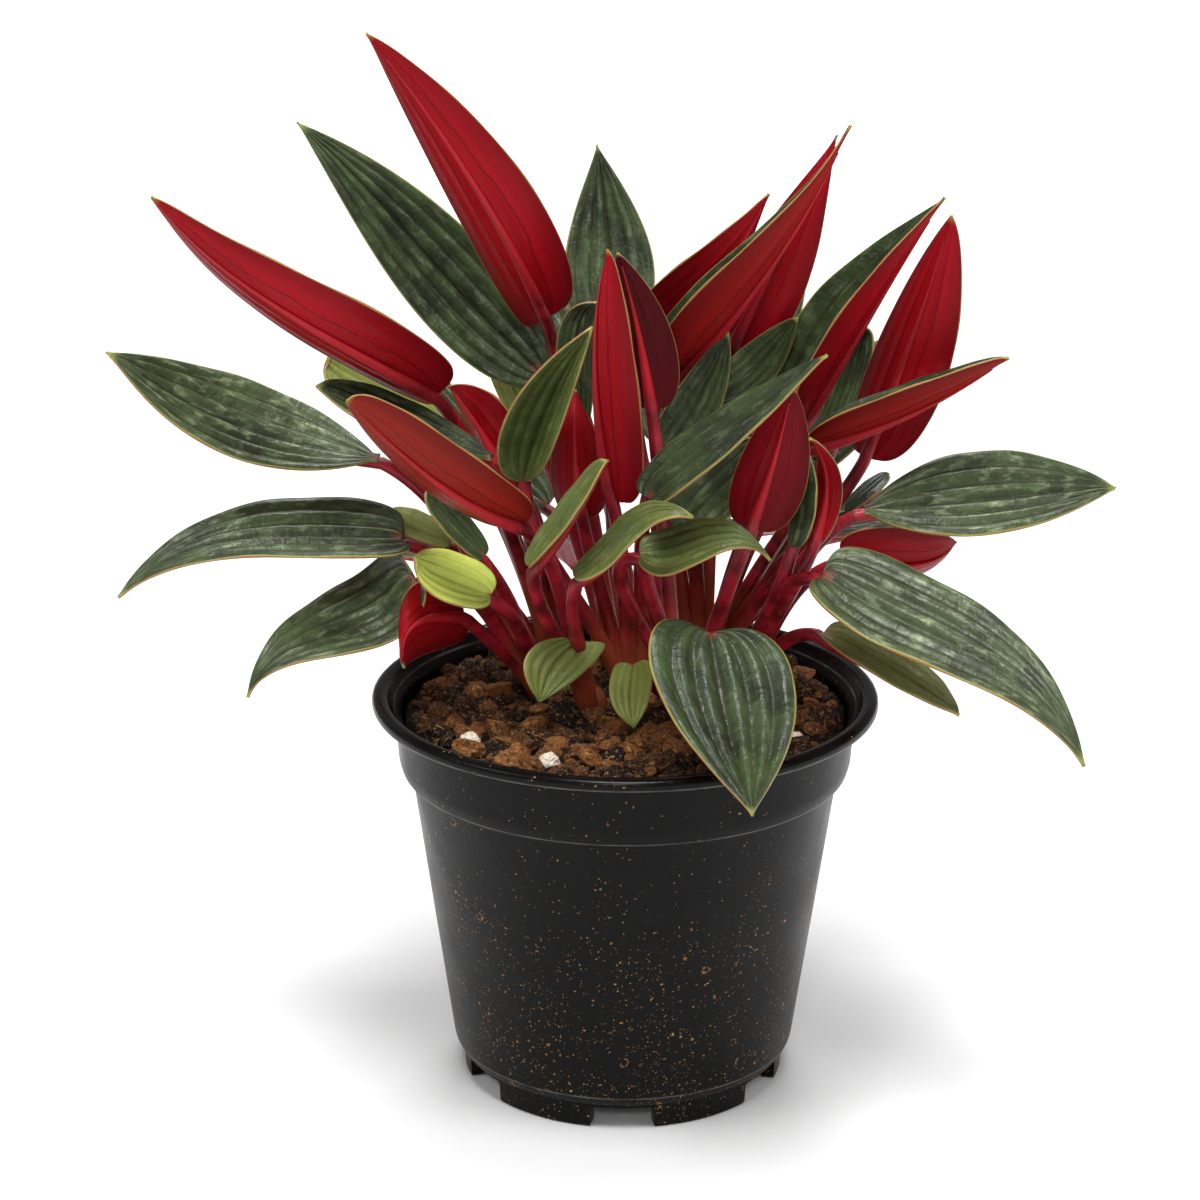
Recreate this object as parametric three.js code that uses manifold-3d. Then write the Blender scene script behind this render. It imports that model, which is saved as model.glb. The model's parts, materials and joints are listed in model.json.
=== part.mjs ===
// A peperomia in a nursery pot: lance-shaped leaves, dark ribbed green above and crimson below,
// on fleshy red stalks that grow in bunches from short stems standing in chunky bark soil.
// Millimetres, +Z up, the plant's front towards -Y. The origin is on the surface that the pot
// stands on, on the pot's own axis.
import * as THREE from 'three';
import { mergeVertices } from 'three/addons/utils/BufferGeometryUtils.js';
import Module from 'manifold-3d';

const wasm = await Module();
wasm.setup();

// ---------------------------------------------------------------- driving dimensions

const POT_HEIGHT = 96;
const RIM_RADIUS = 60;
const RIM_WIDTH = 4.4;
const LIP_DEPTH = 3.1;
const COLLAR_RADIUS_TOP = 54.5;
const COLLAR_RADIUS_FOOT = 53.7;
const COLLAR_FOOT = 76.5;
const BODY_RADIUS_TOP = 50.7;
const BODY_RADIUS_FOOT = 41;
const BODY_FOOT = 6.5;
const FOOT_RADIUS = 38.6;
const FOOT_RING_WIDTH = 3.4;
const WALL = 1.5;
const POT_SIDES = 36;

const FOOT_COUNT = 6;
const NOTCH_HALF_ANGLE = THREE.MathUtils.degToRad(11.1);
const NOTCH_HEIGHT = 5.3;
const DRAIN_HOLE_RADIUS = 4;
const DRAIN_HOLE_CIRCLE = 24;

const FLOOR_LEVEL = 8.4;
const SOIL_LEVEL = 90;
const GAP = 0.3;
const CRUMB_COUNT = 20;
const CRUMB_RADIUS = [2.2, 3.6];
const RELIEF = 1.1;
const RELIEF_CELL = 6;

const BLADE_THICKNESS = 0.8;
const STALK_RADIUS = 1.75;
const STALK_SIDES = 5;
const STALK_STEPS = 4;
const STALK_FOOT = 0.5;
const STEM_DEPTH = 14;
const STEM_RADIUS = 4.2;
const STEM_SIDES = 8;

// ---------------------------------------------------------------- where the photograph was taken

// The camera's place and aim follow from the pot's rim, steps and feet in the picture.
const EYE = new THREE.Vector3(0, -719, 356);
const EYE_PITCH = THREE.MathUtils.degToRad(18.32);
const EYE_YAW = THREE.MathUtils.degToRad(-0.48);
const EYE_ROLL = THREE.MathUtils.degToRad(0.22);
const FOCAL_PIXELS = 3227;
const PICTURE_MIDDLE = 600;

const ahead = new THREE.Vector3(
  Math.sin(EYE_YAW) * Math.cos(EYE_PITCH),
  Math.cos(EYE_YAW) * Math.cos(EYE_PITCH),
  -Math.sin(EYE_PITCH),
);
const across = new THREE.Vector3(Math.cos(EYE_YAW), -Math.sin(EYE_YAW), 0).applyAxisAngle(ahead, -EYE_ROLL);
const upward = new THREE.Vector3().crossVectors(across, ahead);

// The point of the plant that shows at a pixel of the picture, so many mm behind the pot's axis.
function seen(pixelX, pixelY, depth) {
  const ray = ahead.clone()
    .addScaledVector(across, (pixelX - PICTURE_MIDDLE) / FOCAL_PIXELS)
    .addScaledVector(upward, (PICTURE_MIDDLE - pixelY) / FOCAL_PIXELS);
  return EYE.clone().addScaledVector(ray, (depth - EYE.y) / ray.y);
}

function at(x, y, z) {
  return new THREE.Vector3(x, y, z);
}

// ---------------------------------------------------------------- solids and meshes

function geometryFrom(points, triangles) {
  const geometry = new THREE.BufferGeometry();
  const flat = points.flatMap((point) => [point.x, point.y, point.z]);
  geometry.setAttribute('position', new THREE.Float32BufferAttribute(flat, 3));
  geometry.setIndex(triangles.flat());
  return geometry;
}

function toSharedVertices(geometry) {
  const bare = geometry.clone();
  bare.deleteAttribute('normal');
  bare.deleteAttribute('uv');
  return mergeVertices(bare, 1e-4);
}

function toSolid(geometry) {
  const merged = toSharedVertices(geometry);
  const vertProperties = new Float32Array(merged.attributes.position.array);
  const triVerts = new Uint32Array(merged.index.array);
  return new wasm.Manifold(new wasm.Mesh({ numProp: 3, vertProperties, triVerts }));
}

function toGeometry(solid) {
  const mesh = solid.getMesh();
  const geometry = new THREE.BufferGeometry();
  geometry.setAttribute('position', new THREE.BufferAttribute(new Float32Array(mesh.vertProperties), 3));
  geometry.setIndex(new THREE.BufferAttribute(new Uint32Array(mesh.triVerts), 1));
  return geometry;
}

function join(solids) {
  return solids.reduce((whole, solid) => whole.add(solid));
}

// ---------------------------------------------------------------- the pot

function potGeometry() {
  const top = POT_HEIGHT;
  const lip = top - LIP_DEPTH;
  const outside = [
    [0, BODY_FOOT + 0.1],
    [FOOT_RADIUS - FOOT_RING_WIDTH, BODY_FOOT + 0.1],
    [FOOT_RADIUS - FOOT_RING_WIDTH + 0.3, 0],
    [FOOT_RADIUS, 0],
    [FOOT_RADIUS + 0.3, BODY_FOOT],
    [BODY_RADIUS_FOOT - 1.1, BODY_FOOT],
    [BODY_RADIUS_FOOT + 0.1, BODY_FOOT + 2.2],
    [BODY_RADIUS_TOP, COLLAR_FOOT],
    [COLLAR_RADIUS_FOOT - 0.8, COLLAR_FOOT + 1.3],
    [COLLAR_RADIUS_FOOT, COLLAR_FOOT + 4],
    [COLLAR_RADIUS_TOP, lip - 0.4],
    [RIM_RADIUS - 0.7, lip],
    [RIM_RADIUS, lip + 1.2],
    [RIM_RADIUS - 0.4, top - 0.7],
    [RIM_RADIUS - 1.8, top],
  ];
  const inside = [
    [RIM_RADIUS - RIM_WIDTH + 0.9, top - 0.4],
    [RIM_RADIUS - RIM_WIDTH, top - 1.5],
    [COLLAR_RADIUS_TOP - WALL, lip - 1.6],
    [COLLAR_RADIUS_FOOT - WALL, COLLAR_FOOT + 4],
    [BODY_RADIUS_TOP - WALL, COLLAR_FOOT - 1],
    [BODY_RADIUS_FOOT - WALL, BODY_FOOT + 2.6],
    [BODY_RADIUS_FOOT - WALL - 1, FLOOR_LEVEL],
    [0, FLOOR_LEVEL],
  ];
  const profile = [...outside, ...inside].map(([radius, z]) => new THREE.Vector2(radius, z));
  const shell = new THREE.LatheGeometry(profile, POT_SIDES, Math.PI / POT_SIDES);
  shell.rotateX(Math.PI / 2);
  let solid = toSolid(shell);
  for (let i = 0; i < FOOT_COUNT; i += 1) {
    const turn = (2 * Math.PI * i) / FOOT_COUNT;
    solid = solid.subtract(notchSolid(turn)).subtract(drainHoleSolid(turn));
  }
  return toGeometry(solid);
}

// The gap between two feet, a wedge that widens outwards from the pot's axis.
function notchSolid(turn) {
  const [near, far] = [FOOT_RADIUS - 8, FOOT_RADIUS + 6];
  const shape = new THREE.Shape();
  const front = -Math.PI / 2 + turn;
  const corner = (radius, angle) => [radius * Math.cos(angle), radius * Math.sin(angle)];
  shape.moveTo(...corner(near, front - NOTCH_HALF_ANGLE));
  shape.lineTo(...corner(far, front - NOTCH_HALF_ANGLE));
  shape.lineTo(...corner(far, front + NOTCH_HALF_ANGLE));
  shape.lineTo(...corner(near, front + NOTCH_HALF_ANGLE));
  const wedge = new THREE.ExtrudeGeometry(shape, { depth: NOTCH_HEIGHT + 2, bevelEnabled: false });
  wedge.translate(0, 0, -2);
  return toSolid(wedge);
}

function drainHoleSolid(turn) {
  const hole = new THREE.CylinderGeometry(DRAIN_HOLE_RADIUS, DRAIN_HOLE_RADIUS, 10, 8);
  hole.rotateX(Math.PI / 2);
  hole.translate(DRAIN_HOLE_CIRCLE * Math.cos(turn), DRAIN_HOLE_CIRCLE * Math.sin(turn), BODY_FOOT);
  return toSolid(hole);
}

// ---------------------------------------------------------------- one leaf

// Half the blade's width along it: 0 at the base, 1 at its widest, 0 at the tip. A leaf may have a
// roundness at its base and a taper to its tip of its own, and they place where it is widest.
const BASE_ROUNDNESS = 0.45;
const TIP_TAPER = 0.95;

function widestPlace(leaf) {
  const roundness = leaf.roundness ?? BASE_ROUNDNESS;
  return roundness / (roundness + (leaf.taper ?? TIP_TAPER));
}

function outline(along, leaf) {
  const width = (u) => u ** (leaf.roundness ?? BASE_ROUNDNESS) * (1 - u) ** (leaf.taper ?? TIP_TAPER);
  return width(along) / width(widestPlace(leaf));
}

// Stations along the blade, closer together where its base rounds off, and the height of the
// surface across one half: the sunken midrib, a ridge, on a large blade a sunken vein, and the
// margin.
const LARGE_BLADE = { stations: [0, 0.06, 0.2, 0.42, 0.7, 1], ridges: [0, 1, -0.2, 0] };
const SMALL_BLADE = { stations: [0, 0.07, 0.27, 0.6, 1], ridges: [0, 0.8, 0] };
const RIDGE_HEIGHT = 1.1;
const TIP_WIDTH = 0.03;
const NECK_WIDTH = 1.6;
const MIDRIB_SWELL = 2;
const FOLD = 0.16;

const TOWARDS_EYE = ahead.clone().negate();
const SKY = new THREE.Vector3(0, 0, 1);

// The midrib's curve: a bend through the widest place and, where a leaf has one, a second
// place nearer the tip.
const LATE = 0.75;

function throughPoints(base, rib, late, tip, widest) {
  const pull = (point, t) => point.clone()
    .addScaledVector(base, -((1 - t) ** 3))
    .addScaledVector(tip, -(t ** 3));
  const near = (t) => 3 * (1 - t) ** 2 * t;
  const far = (t) => 3 * (1 - t) * t ** 2;
  const first = pull(rib, widest);
  const second = pull(late ?? plainBend(base, rib, tip, widest, LATE), LATE);
  const scale = near(widest) * far(LATE) - near(LATE) * far(widest);
  const mixed = (one, oneShare, other, otherShare) => one.clone()
    .multiplyScalar(oneShare / scale)
    .addScaledVector(other, otherShare / scale);
  const low = mixed(first, far(LATE), second, -far(widest));
  const high = mixed(second, near(widest), first, -near(LATE));
  return new THREE.CubicBezierCurve3(base, low, high, tip);
}

function plainBend(base, rib, tip, widest, t) {
  const rest = 1 - widest;
  const bend = rib.clone()
    .addScaledVector(base, -rest * rest)
    .addScaledVector(tip, -widest * widest)
    .divideScalar(2 * widest * rest);
  return new THREE.QuadraticBezierCurve3(base, bend, tip).getPoint(t);
}

// What fixes a blade: its base and tip, and its midrib and two margins where it is widest.
function bladeFrame(leaf) {
  const hint = { top: TOWARDS_EYE, under: ahead, sky: SKY }[leaf.shows];
  let [left, right] = leaf.edges;
  const chord = leaf.tip.clone().sub(leaf.base);
  const facing = new THREE.Vector3().crossVectors(right.clone().sub(left), chord).normalize();
  if (facing.dot(hint) < 0) {
    [left, right] = [right, left];
    facing.negate();
  }
  const trough = FOLD * left.distanceTo(right);
  const rib = leaf.rib ?? left.clone().lerp(right, 0.5).addScaledVector(facing, -trough);
  const midrib = throughPoints(leaf.base, rib, leaf.late, leaf.tip, widestPlace(leaf));
  return {
    midrib,
    facing,
    length: chord.length(),
    toLeft: left.clone().sub(rib),
    toRight: right.clone().sub(rib),
    neck: (NECK_WIDTH * STALK_RADIUS) / left.distanceTo(right),
  };
}

// How far the blade's base runs back beside its stalk, as a share of its length.
const LOBE = 0.06;

// A point of the blade's middle surface: along runs from base to tip, side from -1 to 1.
function bladePoint(frame, leaf, along, side, ridge) {
  const reach = Math.abs(side);
  const least = along < 0.5 ? frame.neck : TIP_WIDTH;
  const half = Math.max(outline(along, leaf), least);
  const swept = along - (leaf.lobe ?? LOBE) * (1 - along) ** 3 * reach * half;
  return frame.midrib.getPoint(Math.max(swept, 0))
    .addScaledVector(frame.midrib.getTangent(0), Math.min(swept, 0) * frame.length)
    .addScaledVector(side < 0 ? frame.toLeft : frame.toRight, reach * half)
    .addScaledVector(frame.facing, ridge * half * RIDGE_HEIGHT);
}

// Each station's points, over the top from left to right and back underneath.
function bladeRings(leaf, frame, form) {
  const half = form.ridges.length - 1;
  const last = form.stations.length - 1;
  const middle = form.stations.map((along) => {
    const row = [];
    for (let step = -half; step <= half; step += 1) {
      row.push(bladePoint(frame, leaf, along, step / half, form.ridges[Math.abs(step)]));
    }
    return row;
  });
  return middle.map((row, i) => {
    const normals = row.map((_, j) => {
      const lengthwise = middle[Math.min(i + 1, last)][j].clone().sub(middle[Math.max(i - 1, 0)][j]);
      const sideways = row[Math.min(j + 1, 2 * half)].clone().sub(row[Math.max(j - 1, 0)]);
      return new THREE.Vector3().crossVectors(sideways, lengthwise).normalize();
    });
    const face = (share) => row.map((point, j) => {
      const swell = MIDRIB_SWELL * (1 - form.stations[i]) ** 6 * (1 - Math.abs(j - half) / half);
      return point.clone().addScaledVector(normals[j], share * BLADE_THICKNESS * (1 + swell));
    });
    return [...face(0.5), ...face(-0.5).reverse()];
  });
}

// The stalk rises from its stem and runs into the blade's base, where it follows the midrib's
// direction by this share.
const STALK_FOLLOWS = 0.55;

function stalkRings(stem, leaf, frame) {
  const flat = at(leaf.base.x - stem.x, leaf.base.y - stem.y, 0).normalize();
  const bottom = at(stem.x, stem.y, SOIL_LEVEL + STALK_FOOT).addScaledVector(flat, 0.45 * STEM_RADIUS);
  const span = leaf.base.distanceTo(bottom);
  const outward = leaf.base.clone().sub(bottom).normalize();
  const rise = outward.clone().lerp(SKY, 0.25).normalize();
  const follow = leaf.follow ?? STALK_FOLLOWS;
  const arrive = frame.midrib.getTangent(0).lerp(outward, 1 - follow).normalize();
  const path = new THREE.CubicBezierCurve3(
    bottom,
    bottom.clone().addScaledVector(rise, span * 0.4),
    leaf.base.clone().addScaledVector(arrive, -span * 0.3),
    leaf.base.clone().addScaledVector(arrive, -1.5).addScaledVector(frame.facing, -0.6),
  ).getPoints(STALK_STEPS);
  const width = frame.toRight.clone().sub(frame.toLeft);
  return ringsAlong(path, (share) => STALK_RADIUS * (1.12 - 0.24 * share), STALK_SIDES, width);
}

// Rings of points round a path, their first side towards the given direction at the path's end.
function ringsAlong(path, radius, sides, endSide) {
  const last = path.length - 1;
  let side = endSide.clone().negate();
  const rings = [];
  for (let i = last; i >= 0; i -= 1) {
    const forward = path[Math.min(i + 1, last)].clone().sub(path[Math.max(i - 1, 0)]).normalize();
    side = side.clone().addScaledVector(forward, -side.dot(forward)).normalize();
    const over = new THREE.Vector3().crossVectors(forward, side);
    const ring = [];
    for (let k = 0; k < sides; k += 1) {
      const angle = (2 * Math.PI * k) / sides;
      ring.push(path[i].clone()
        .addScaledVector(side, radius(i / last) * Math.cos(angle))
        .addScaledVector(over, radius(i / last) * Math.sin(angle)));
    }
    rings.unshift(ring);
  }
  return rings;
}

// A closed skin over rings of points that may differ in count but run the same way round. Where a
// blade's rings run over its top and back underneath, both faces are split along like diagonals.
function skinSolid(rings) {
  const points = rings.flat();
  const triangles = [];
  let start = 0;
  rings.slice(0, -1).forEach((ring, i) => {
    const next = start + ring.length;
    triangles.push(...bandTriangles(start, ring.length, next, rings[i + 1].length));
    start = next;
  });
  const [first, last] = [rings[0].length, rings[rings.length - 1].length];
  for (let k = 1; k + 1 < first; k += 1) triangles.push([0, k + 1, k]);
  for (let k = 0; k < last / 2 - 1; k += 1) {
    const [a, b] = [start + k, start + last - 1 - k];
    triangles.push([a, a + 1, b]);
    if (a + 1 < b - 1) triangles.push([a + 1, b - 1, b]);
  }
  return toSolid(geometryFrom(points, triangles));
}

function bandTriangles(low, lowCount, high, highCount) {
  const triangles = [];
  let [a, b] = [0, 0];
  while (a < lowCount || b < highCount) {
    const lead = (a + 1) / lowCount - (b + 1) / highCount;
    const lowIsNext = lead < 0 || (lead === 0 && a < lowCount / 2);
    const advanceLow = b >= highCount || (a < lowCount && lowIsNext);
    const [lowPoint, highPoint] = [low + (a % lowCount), high + (b % highCount)];
    if (advanceLow) {
      a += 1;
      triangles.push([lowPoint, low + (a % lowCount), highPoint]);
    } else {
      b += 1;
      triangles.push([lowPoint, high + (b % highCount), highPoint]);
    }
  }
  return triangles;
}

function leafSolid(stem, leaf) {
  const frame = bladeFrame(leaf);
  const form = leaf.small ? SMALL_BLADE : LARGE_BLADE;
  return skinSolid([...stalkRings(stem, leaf, frame), ...bladeRings(leaf, frame, form)]);
}

// ---------------------------------------------------------------- the short stems

// Heights from the soil, and the radius there as a share of the stem's.
const STEM_HEIGHTS = [-STEM_DEPTH, -2, 3, 6];
const STEM_SHARES = [0.75, 1, 0.95, 0.6];

function stemSolid(stem) {
  const path = STEM_HEIGHTS.map((height) => at(stem.x, stem.y, SOIL_LEVEL + height));
  const radius = (share) => STEM_RADIUS * STEM_SHARES[Math.round(share * (path.length - 1))];
  const stub = skinSolid(ringsAlong(path, radius, STEM_SIDES, at(1, 0, 0)));
  return join([stub, ...stem.leaves.map((leaf) => leafSolid(stem, leaf))]);
}

// The plain hole that the stem stands in.
function stemHoleSolid(stem) {
  const path = [-STEM_DEPTH - GAP, STEM_DEPTH].map((height) => at(stem.x, stem.y, SOIL_LEVEL + height));
  return skinSolid(ringsAlong(path, () => STEM_RADIUS + 1.5 * GAP, STEM_SIDES, at(1, 0, 0)));
}

// ---------------------------------------------------------------- the leaves, bunch by bunch

// Each leaf is placed by what the picture shows: its blade's base and tip, and its two margins
// at the widest place, as seen(pixel across, pixel down, mm behind the pot's axis).
const STEMS = [
  {
    name: 'leafy_stem_left',
    x: -19,
    y: 10,
    leaves: [
      { // far left, green
        shows: 'top',
        base: seen(378, 459, 6),
        tip: seen(108, 351, -19),
        edges: [seen(261, 384, 14), seen(232, 457, -8)],
        roundness: 0.9,
        taper: 1.0,
        lobe: 0,
      },
      { // left, level, green
        shows: 'top',
        base: seen(402, 541, 2),
        tip: seen(118, 596, -14),
        edges: [seen(317, 497, 10), seen(328, 558, -14)],
        late: seen(184, 557, -10),
        roundness: 0.3,
        taper: 0.85,
      },
      { // lowest left, dark green
        shows: 'top',
        base: seen(415, 580, -12),
        tip: seen(247, 696, -30),
        edges: [seen(353, 576, 0), seen(396, 639, -22)],
        late: seen(282, 657, -27),
        roundness: 0.35,
        taper: 1.1,
      },
      { // red cup over the rim
        shows: 'under',
        small: true,
        base: seen(463, 617, -8),
        tip: seen(403, 667, -24),
        edges: [seen(419, 582, -17), seen(437, 650, -10)],
        rib: seen(424, 618, -22),
        taper: 0.85,
        follow: 0.1,
      },
      { // small round, yellow-green
        shows: 'top',
        small: true,
        base: seen(489, 596, -16),
        tip: seen(416, 556, -28),
        edges: [seen(463, 554, -14), seen(446, 602, -28)],
      },
      { // small olive
        shows: 'top',
        small: true,
        base: seen(450, 545, 8),
        tip: seen(388, 512, 12),
        edges: [seen(425, 513, 14), seen(412, 538, 4)],
      },
      { // narrow dark green under the orange-red one
        shows: 'top',
        small: true,
        base: seen(482, 556, -10),
        tip: seen(430, 488, -14),
        edges: [seen(443, 530, -16), seen(462, 508, -8)],
      },
    ],
  },
  {
    name: 'leafy_stem_left_back',
    x: -15,
    y: 24,
    leaves: [
      { // long red underside, upper left
        shows: 'under',
        base: seen(435, 394, -2),
        tip: seen(152, 195, -24),
        edges: [seen(372, 308, -20), seen(335, 360, -6)],
        late: seen(214, 259, -18),
        roundness: 0.35,
        taper: 0.85,
        lobe: 0.1,
      },
      { // pale, behind the long red one
        shows: 'top',
        small: true,
        base: seen(455, 440, 24),
        tip: seen(330, 360, 26),
        edges: [seen(388, 372, 32), seen(372, 420, 18)],
      },
      { // dark green, narrow
        shows: 'top',
        small: true,
        base: seen(490, 458, -6),
        tip: seen(317, 384, -12),
        edges: [seen(403, 397, -2), seen(387, 435, -16)],
        roundness: 0.8,
        taper: 0.65,
      },
      { // back, upper left
        shows: 'sky',
        base: at(-38, 38, 140),
        tip: at(-75, 62, 168),
        edges: [at(-46, 56, 158), at(-56, 38, 152)],
      },
      { // back, low left
        shows: 'sky',
        base: at(-42, 32, 118),
        tip: at(-86, 58, 112),
        edges: [at(-52, 50, 121), at(-64, 32, 119)],
      },
      { // small red with a hooked tip
        shows: 'under',
        small: true,
        base: seen(505, 465, 8),
        tip: seen(450, 385, 10),
        edges: [seen(508, 410, 4), seen(476, 440, 16)],
      },
    ],
  },
  {
    name: 'leafy_stem_front',
    x: -8,
    y: -1,
    leaves: [
      { // heart, left of the middle
        shows: 'top',
        small: true,
        base: seen(575, 644, -14),
        tip: seen(540, 702, -26),
        edges: [seen(527, 654, -24), seen(594, 663, -18)],
        roundness: 0.59,
        taper: 0.91,
        lobe: 0.32,
        follow: 0.1,
      },
      { // orange-red underside, front left
        shows: 'under',
        base: seen(522, 524, -24),
        tip: seen(347, 399, -42),
        edges: [seen(462, 448, -40), seen(430, 493, -26)],
        late: seen(386, 437, -40),
        roundness: 0.45,
        taper: 0.6,
        lobe: 0.12,
      },
      { // small, folded edge-on
        shows: 'sky',
        small: true,
        base: seen(530, 567, -28),
        tip: seen(606, 459, -32),
        edges: [seen(569, 523, -38), seen(553, 511, -26)],
        rib: seen(566, 527, -29),
        roundness: 0.4,
        taper: 0.5,
        follow: 0.2,
      },
      { // small green with a light margin
        shows: 'top',
        small: true,
        base: seen(576, 577, -30),
        tip: seen(692, 516, -46),
        edges: [seen(614, 524, -28), seen(627, 549, -44)],
        rib: seen(623, 541, -33),
        late: seen(655, 516, -40),
        roundness: 0.4,
        taper: 0.5,
        follow: 0.2,
      },
    ],
  },
  {
    name: 'leafy_stem_middle',
    x: 2,
    y: 10,
    leaves: [
      { // tall, folded, magenta
        shows: 'under',
        base: seen(615, 498, -6),
        tip: seen(610, 249, -18),
        edges: [seen(641, 410, -20), seen(634, 408, -6)],
        rib: seen(600, 400, -14),
        taper: 0.85,
      },
      { // green, folded open
        shows: 'top',
        base: seen(524, 480, -6),
        tip: seen(592, 328, -12),
        edges: [seen(503, 424, -14), seen(562, 425, -14)],
        rib: seen(538, 428, -5),
        taper: 0.85,
      },
      { // dark red triangle
        shows: 'under',
        small: true,
        base: seen(582, 520, 0),
        tip: seen(575, 389, 2),
        edges: [seen(551, 478, 2), seen(607, 474, 4)],
        rib: seen(577, 484, -4),
        taper: 1.1,
      },
      { // green, upright
        shows: 'top',
        small: true,
        base: seen(662, 455, 4),
        tip: seen(728, 332, 6),
        edges: [seen(668, 403, 6), seen(712, 426, 4)],
        taper: 0.8,
      },
    ],
  },
  {
    name: 'leafy_stem_middle_back',
    x: -1,
    y: 26,
    leaves: [
      { // tallest, red underside
        shows: 'under',
        base: seen(546, 316, 16),
        tip: seen(367, 32, -8),
        edges: [seen(477, 253, 10), seen(546, 209, 2)],
        late: seen(418, 99, -3),
        roundness: 0.35,
        taper: 0.95,
        lobe: 0.08,
      },
      { // long dark green beside it
        shows: 'top',
        base: seen(541, 374, 30),
        tip: seen(297, 122, 24),
        edges: [seen(425, 323, 26), seen(494, 257, 32)],
        late: seen(361, 183, 26),
        roundness: 0.5,
        taper: 1.0,
      },
      { // upright green at the back
        shows: 'top',
        base: seen(607, 335, 40),
        tip: seen(597, 144, 56),
        edges: [seen(564, 272, 44), seen(655, 273, 46)],
        roundness: 0.55,
        taper: 1.15,
      },
      { // green behind the folded one
        shows: 'top',
        small: true,
        base: seen(578, 420, 14),
        tip: seen(598, 303, 10),
        edges: [seen(556, 350, 12), seen(594, 370, 12)],
      },
      { // pale green, back
        shows: 'top',
        small: true,
        base: seen(545, 455, 36),
        tip: seen(487, 345, 44),
        edges: [seen(500, 400, 40), seen(530, 385, 40)],
      },
    ],
  },
  {
    name: 'leafy_stem_right_front',
    x: 14,
    y: 0,
    leaves: [
      { // small heart in the middle
        shows: 'top',
        small: true,
        base: seen(632, 667, -14),
        tip: seen(634, 728, -26),
        edges: [seen(609, 690, -22), seen(652, 686, -20)],
        lobe: 0.22,
        follow: 0.1,
      },
      { // large heart that hangs over the rim
        shows: 'top',
        base: seen(710, 635, -36),
        tip: seen(753, 814, -76),
        edges: [seen(651, 671, -50), seen(796, 690, -48)],
        roundness: 0.48,
        taper: 1.08,
        lobe: 0.12,
        follow: 0.1,
      },
      { // green, tip bent down
        shows: 'top',
        base: seen(640, 556, -26),
        tip: seen(770, 559, -34),
        edges: [seen(679, 524, -22), seen(677, 573, -38)],
        late: seen(737, 541, -34),
        roundness: 0.5,
        taper: 1.1,
      },
      { // dark red oval
        shows: 'under',
        base: seen(752, 527, -18),
        tip: seen(793, 387, -20),
        edges: [seen(735, 471, -14), seen(805, 492, -18)],
        roundness: 0.4,
        taper: 0.8,
        lobe: 0.08,
      },
      { // long green across the front
        shows: 'top',
        base: seen(652, 500, -24),
        tip: seen(826, 354, -38),
        edges: [seen(677, 438, -20), seen(706, 472, -38)],
        roundness: 0.35,
        taper: 1.0,
      },
      { // dark red behind the tall one
        shows: 'under',
        base: seen(652, 408, -4),
        tip: seen(618, 252, -7),
        edges: [seen(612, 350, 0), seen(677, 350, -2)],
      },
      { // dark green below it
        shows: 'top',
        small: true,
        base: seen(668, 538, -2),
        tip: seen(760, 440, -2),
        edges: [seen(690, 466, 4), seen(728, 520, -6)],
      },
    ],
  },
  {
    name: 'leafy_stem_right',
    x: 25,
    y: 10,
    leaves: [
      { // far right, green
        shows: 'top',
        base: seen(864, 511, -4),
        tip: seen(1116, 487, 14),
        edges: [seen(977, 451, 10), seen(985, 535, -12)],
        roundness: 0.85,
        taper: 0.95,
        lobe: 0,
      },
      { // dark red behind the two green ones
        shows: 'under',
        small: true,
        base: seen(842, 560, 4),
        tip: seen(955, 540, 14),
        edges: [seen(892, 527, 2), seen(890, 580, 14)],
      },
      { // large green, lower right
        shows: 'top',
        base: seen(822, 578, -22),
        tip: seen(1085, 765, -60),
        edges: [seen(933, 578, -22), seen(884, 647, -48)],
        late: seen(1032, 699, -50),
        roundness: 0.35,
        taper: 0.9,
      },
      { // olive, below it
        shows: 'top',
        small: true,
        base: seen(824, 634, -10),
        tip: seen(960, 714, -24),
        edges: [seen(900, 645, -6), seen(872, 673, -24)],
      },
      { // small dark red
        shows: 'under',
        small: true,
        base: seen(815, 545, -14),
        tip: seen(810, 437, -24),
        edges: [seen(816, 500, -8), seen(842, 500, -12)],
      },
      { // narrow red, pale margin
        shows: 'sky',
        small: true,
        base: seen(790, 545, -14),
        tip: seen(808, 455, -12),
        edges: [seen(816, 510, -18), seen(808, 505, -8)],
        rib: seen(795, 505, -12),
        taper: 0.85,
      },
    ],
  },
  {
    name: 'leafy_stem_right_back',
    x: 17,
    y: 24,
    leaves: [
      { // red, pointing up right
        shows: 'under',
        base: seen(650, 330, 22),
        tip: seen(768, 192, 16),
        edges: [seen(664, 277, 14), seen(702, 309, 26)],
        roundness: 0.4,
        taper: 1.1,
      },
      { // long folded red
        shows: 'sky',
        base: seen(676, 375, 14),
        tip: seen(849, 124, 0),
        edges: [seen(686, 304, -2), seen(680, 300, 16)],
        rib: seen(720, 328, 6),
        taper: 1.7,
      },
      { // wide red behind it
        shows: 'under',
        base: seen(735, 345, 26),
        tip: seen(838, 135, 22),
        edges: [seen(735, 275, 30), seen(799, 306, 22)],
        taper: 1.2,
      },
      { // folded, green inside and red outside
        shows: 'sky',
        base: seen(800, 425, 10),
        tip: seen(943, 197, -4),
        edges: [seen(825, 335, 0), seen(797, 317, 18)],
        rib: seen(847, 349, 9),
        roundness: 0.6,
        taper: 1.2,
      },
      { // green behind the folded one
        shows: 'top',
        small: true,
        base: seen(825, 458, 28),
        tip: seen(862, 327, 34),
        edges: [seen(826, 400, 36), seen(864, 388, 30)],
        taper: 1.1,
      },
      { // large red, right
        shows: 'under',
        base: seen(868, 456, 16),
        tip: seen(953, 215, 6),
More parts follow.
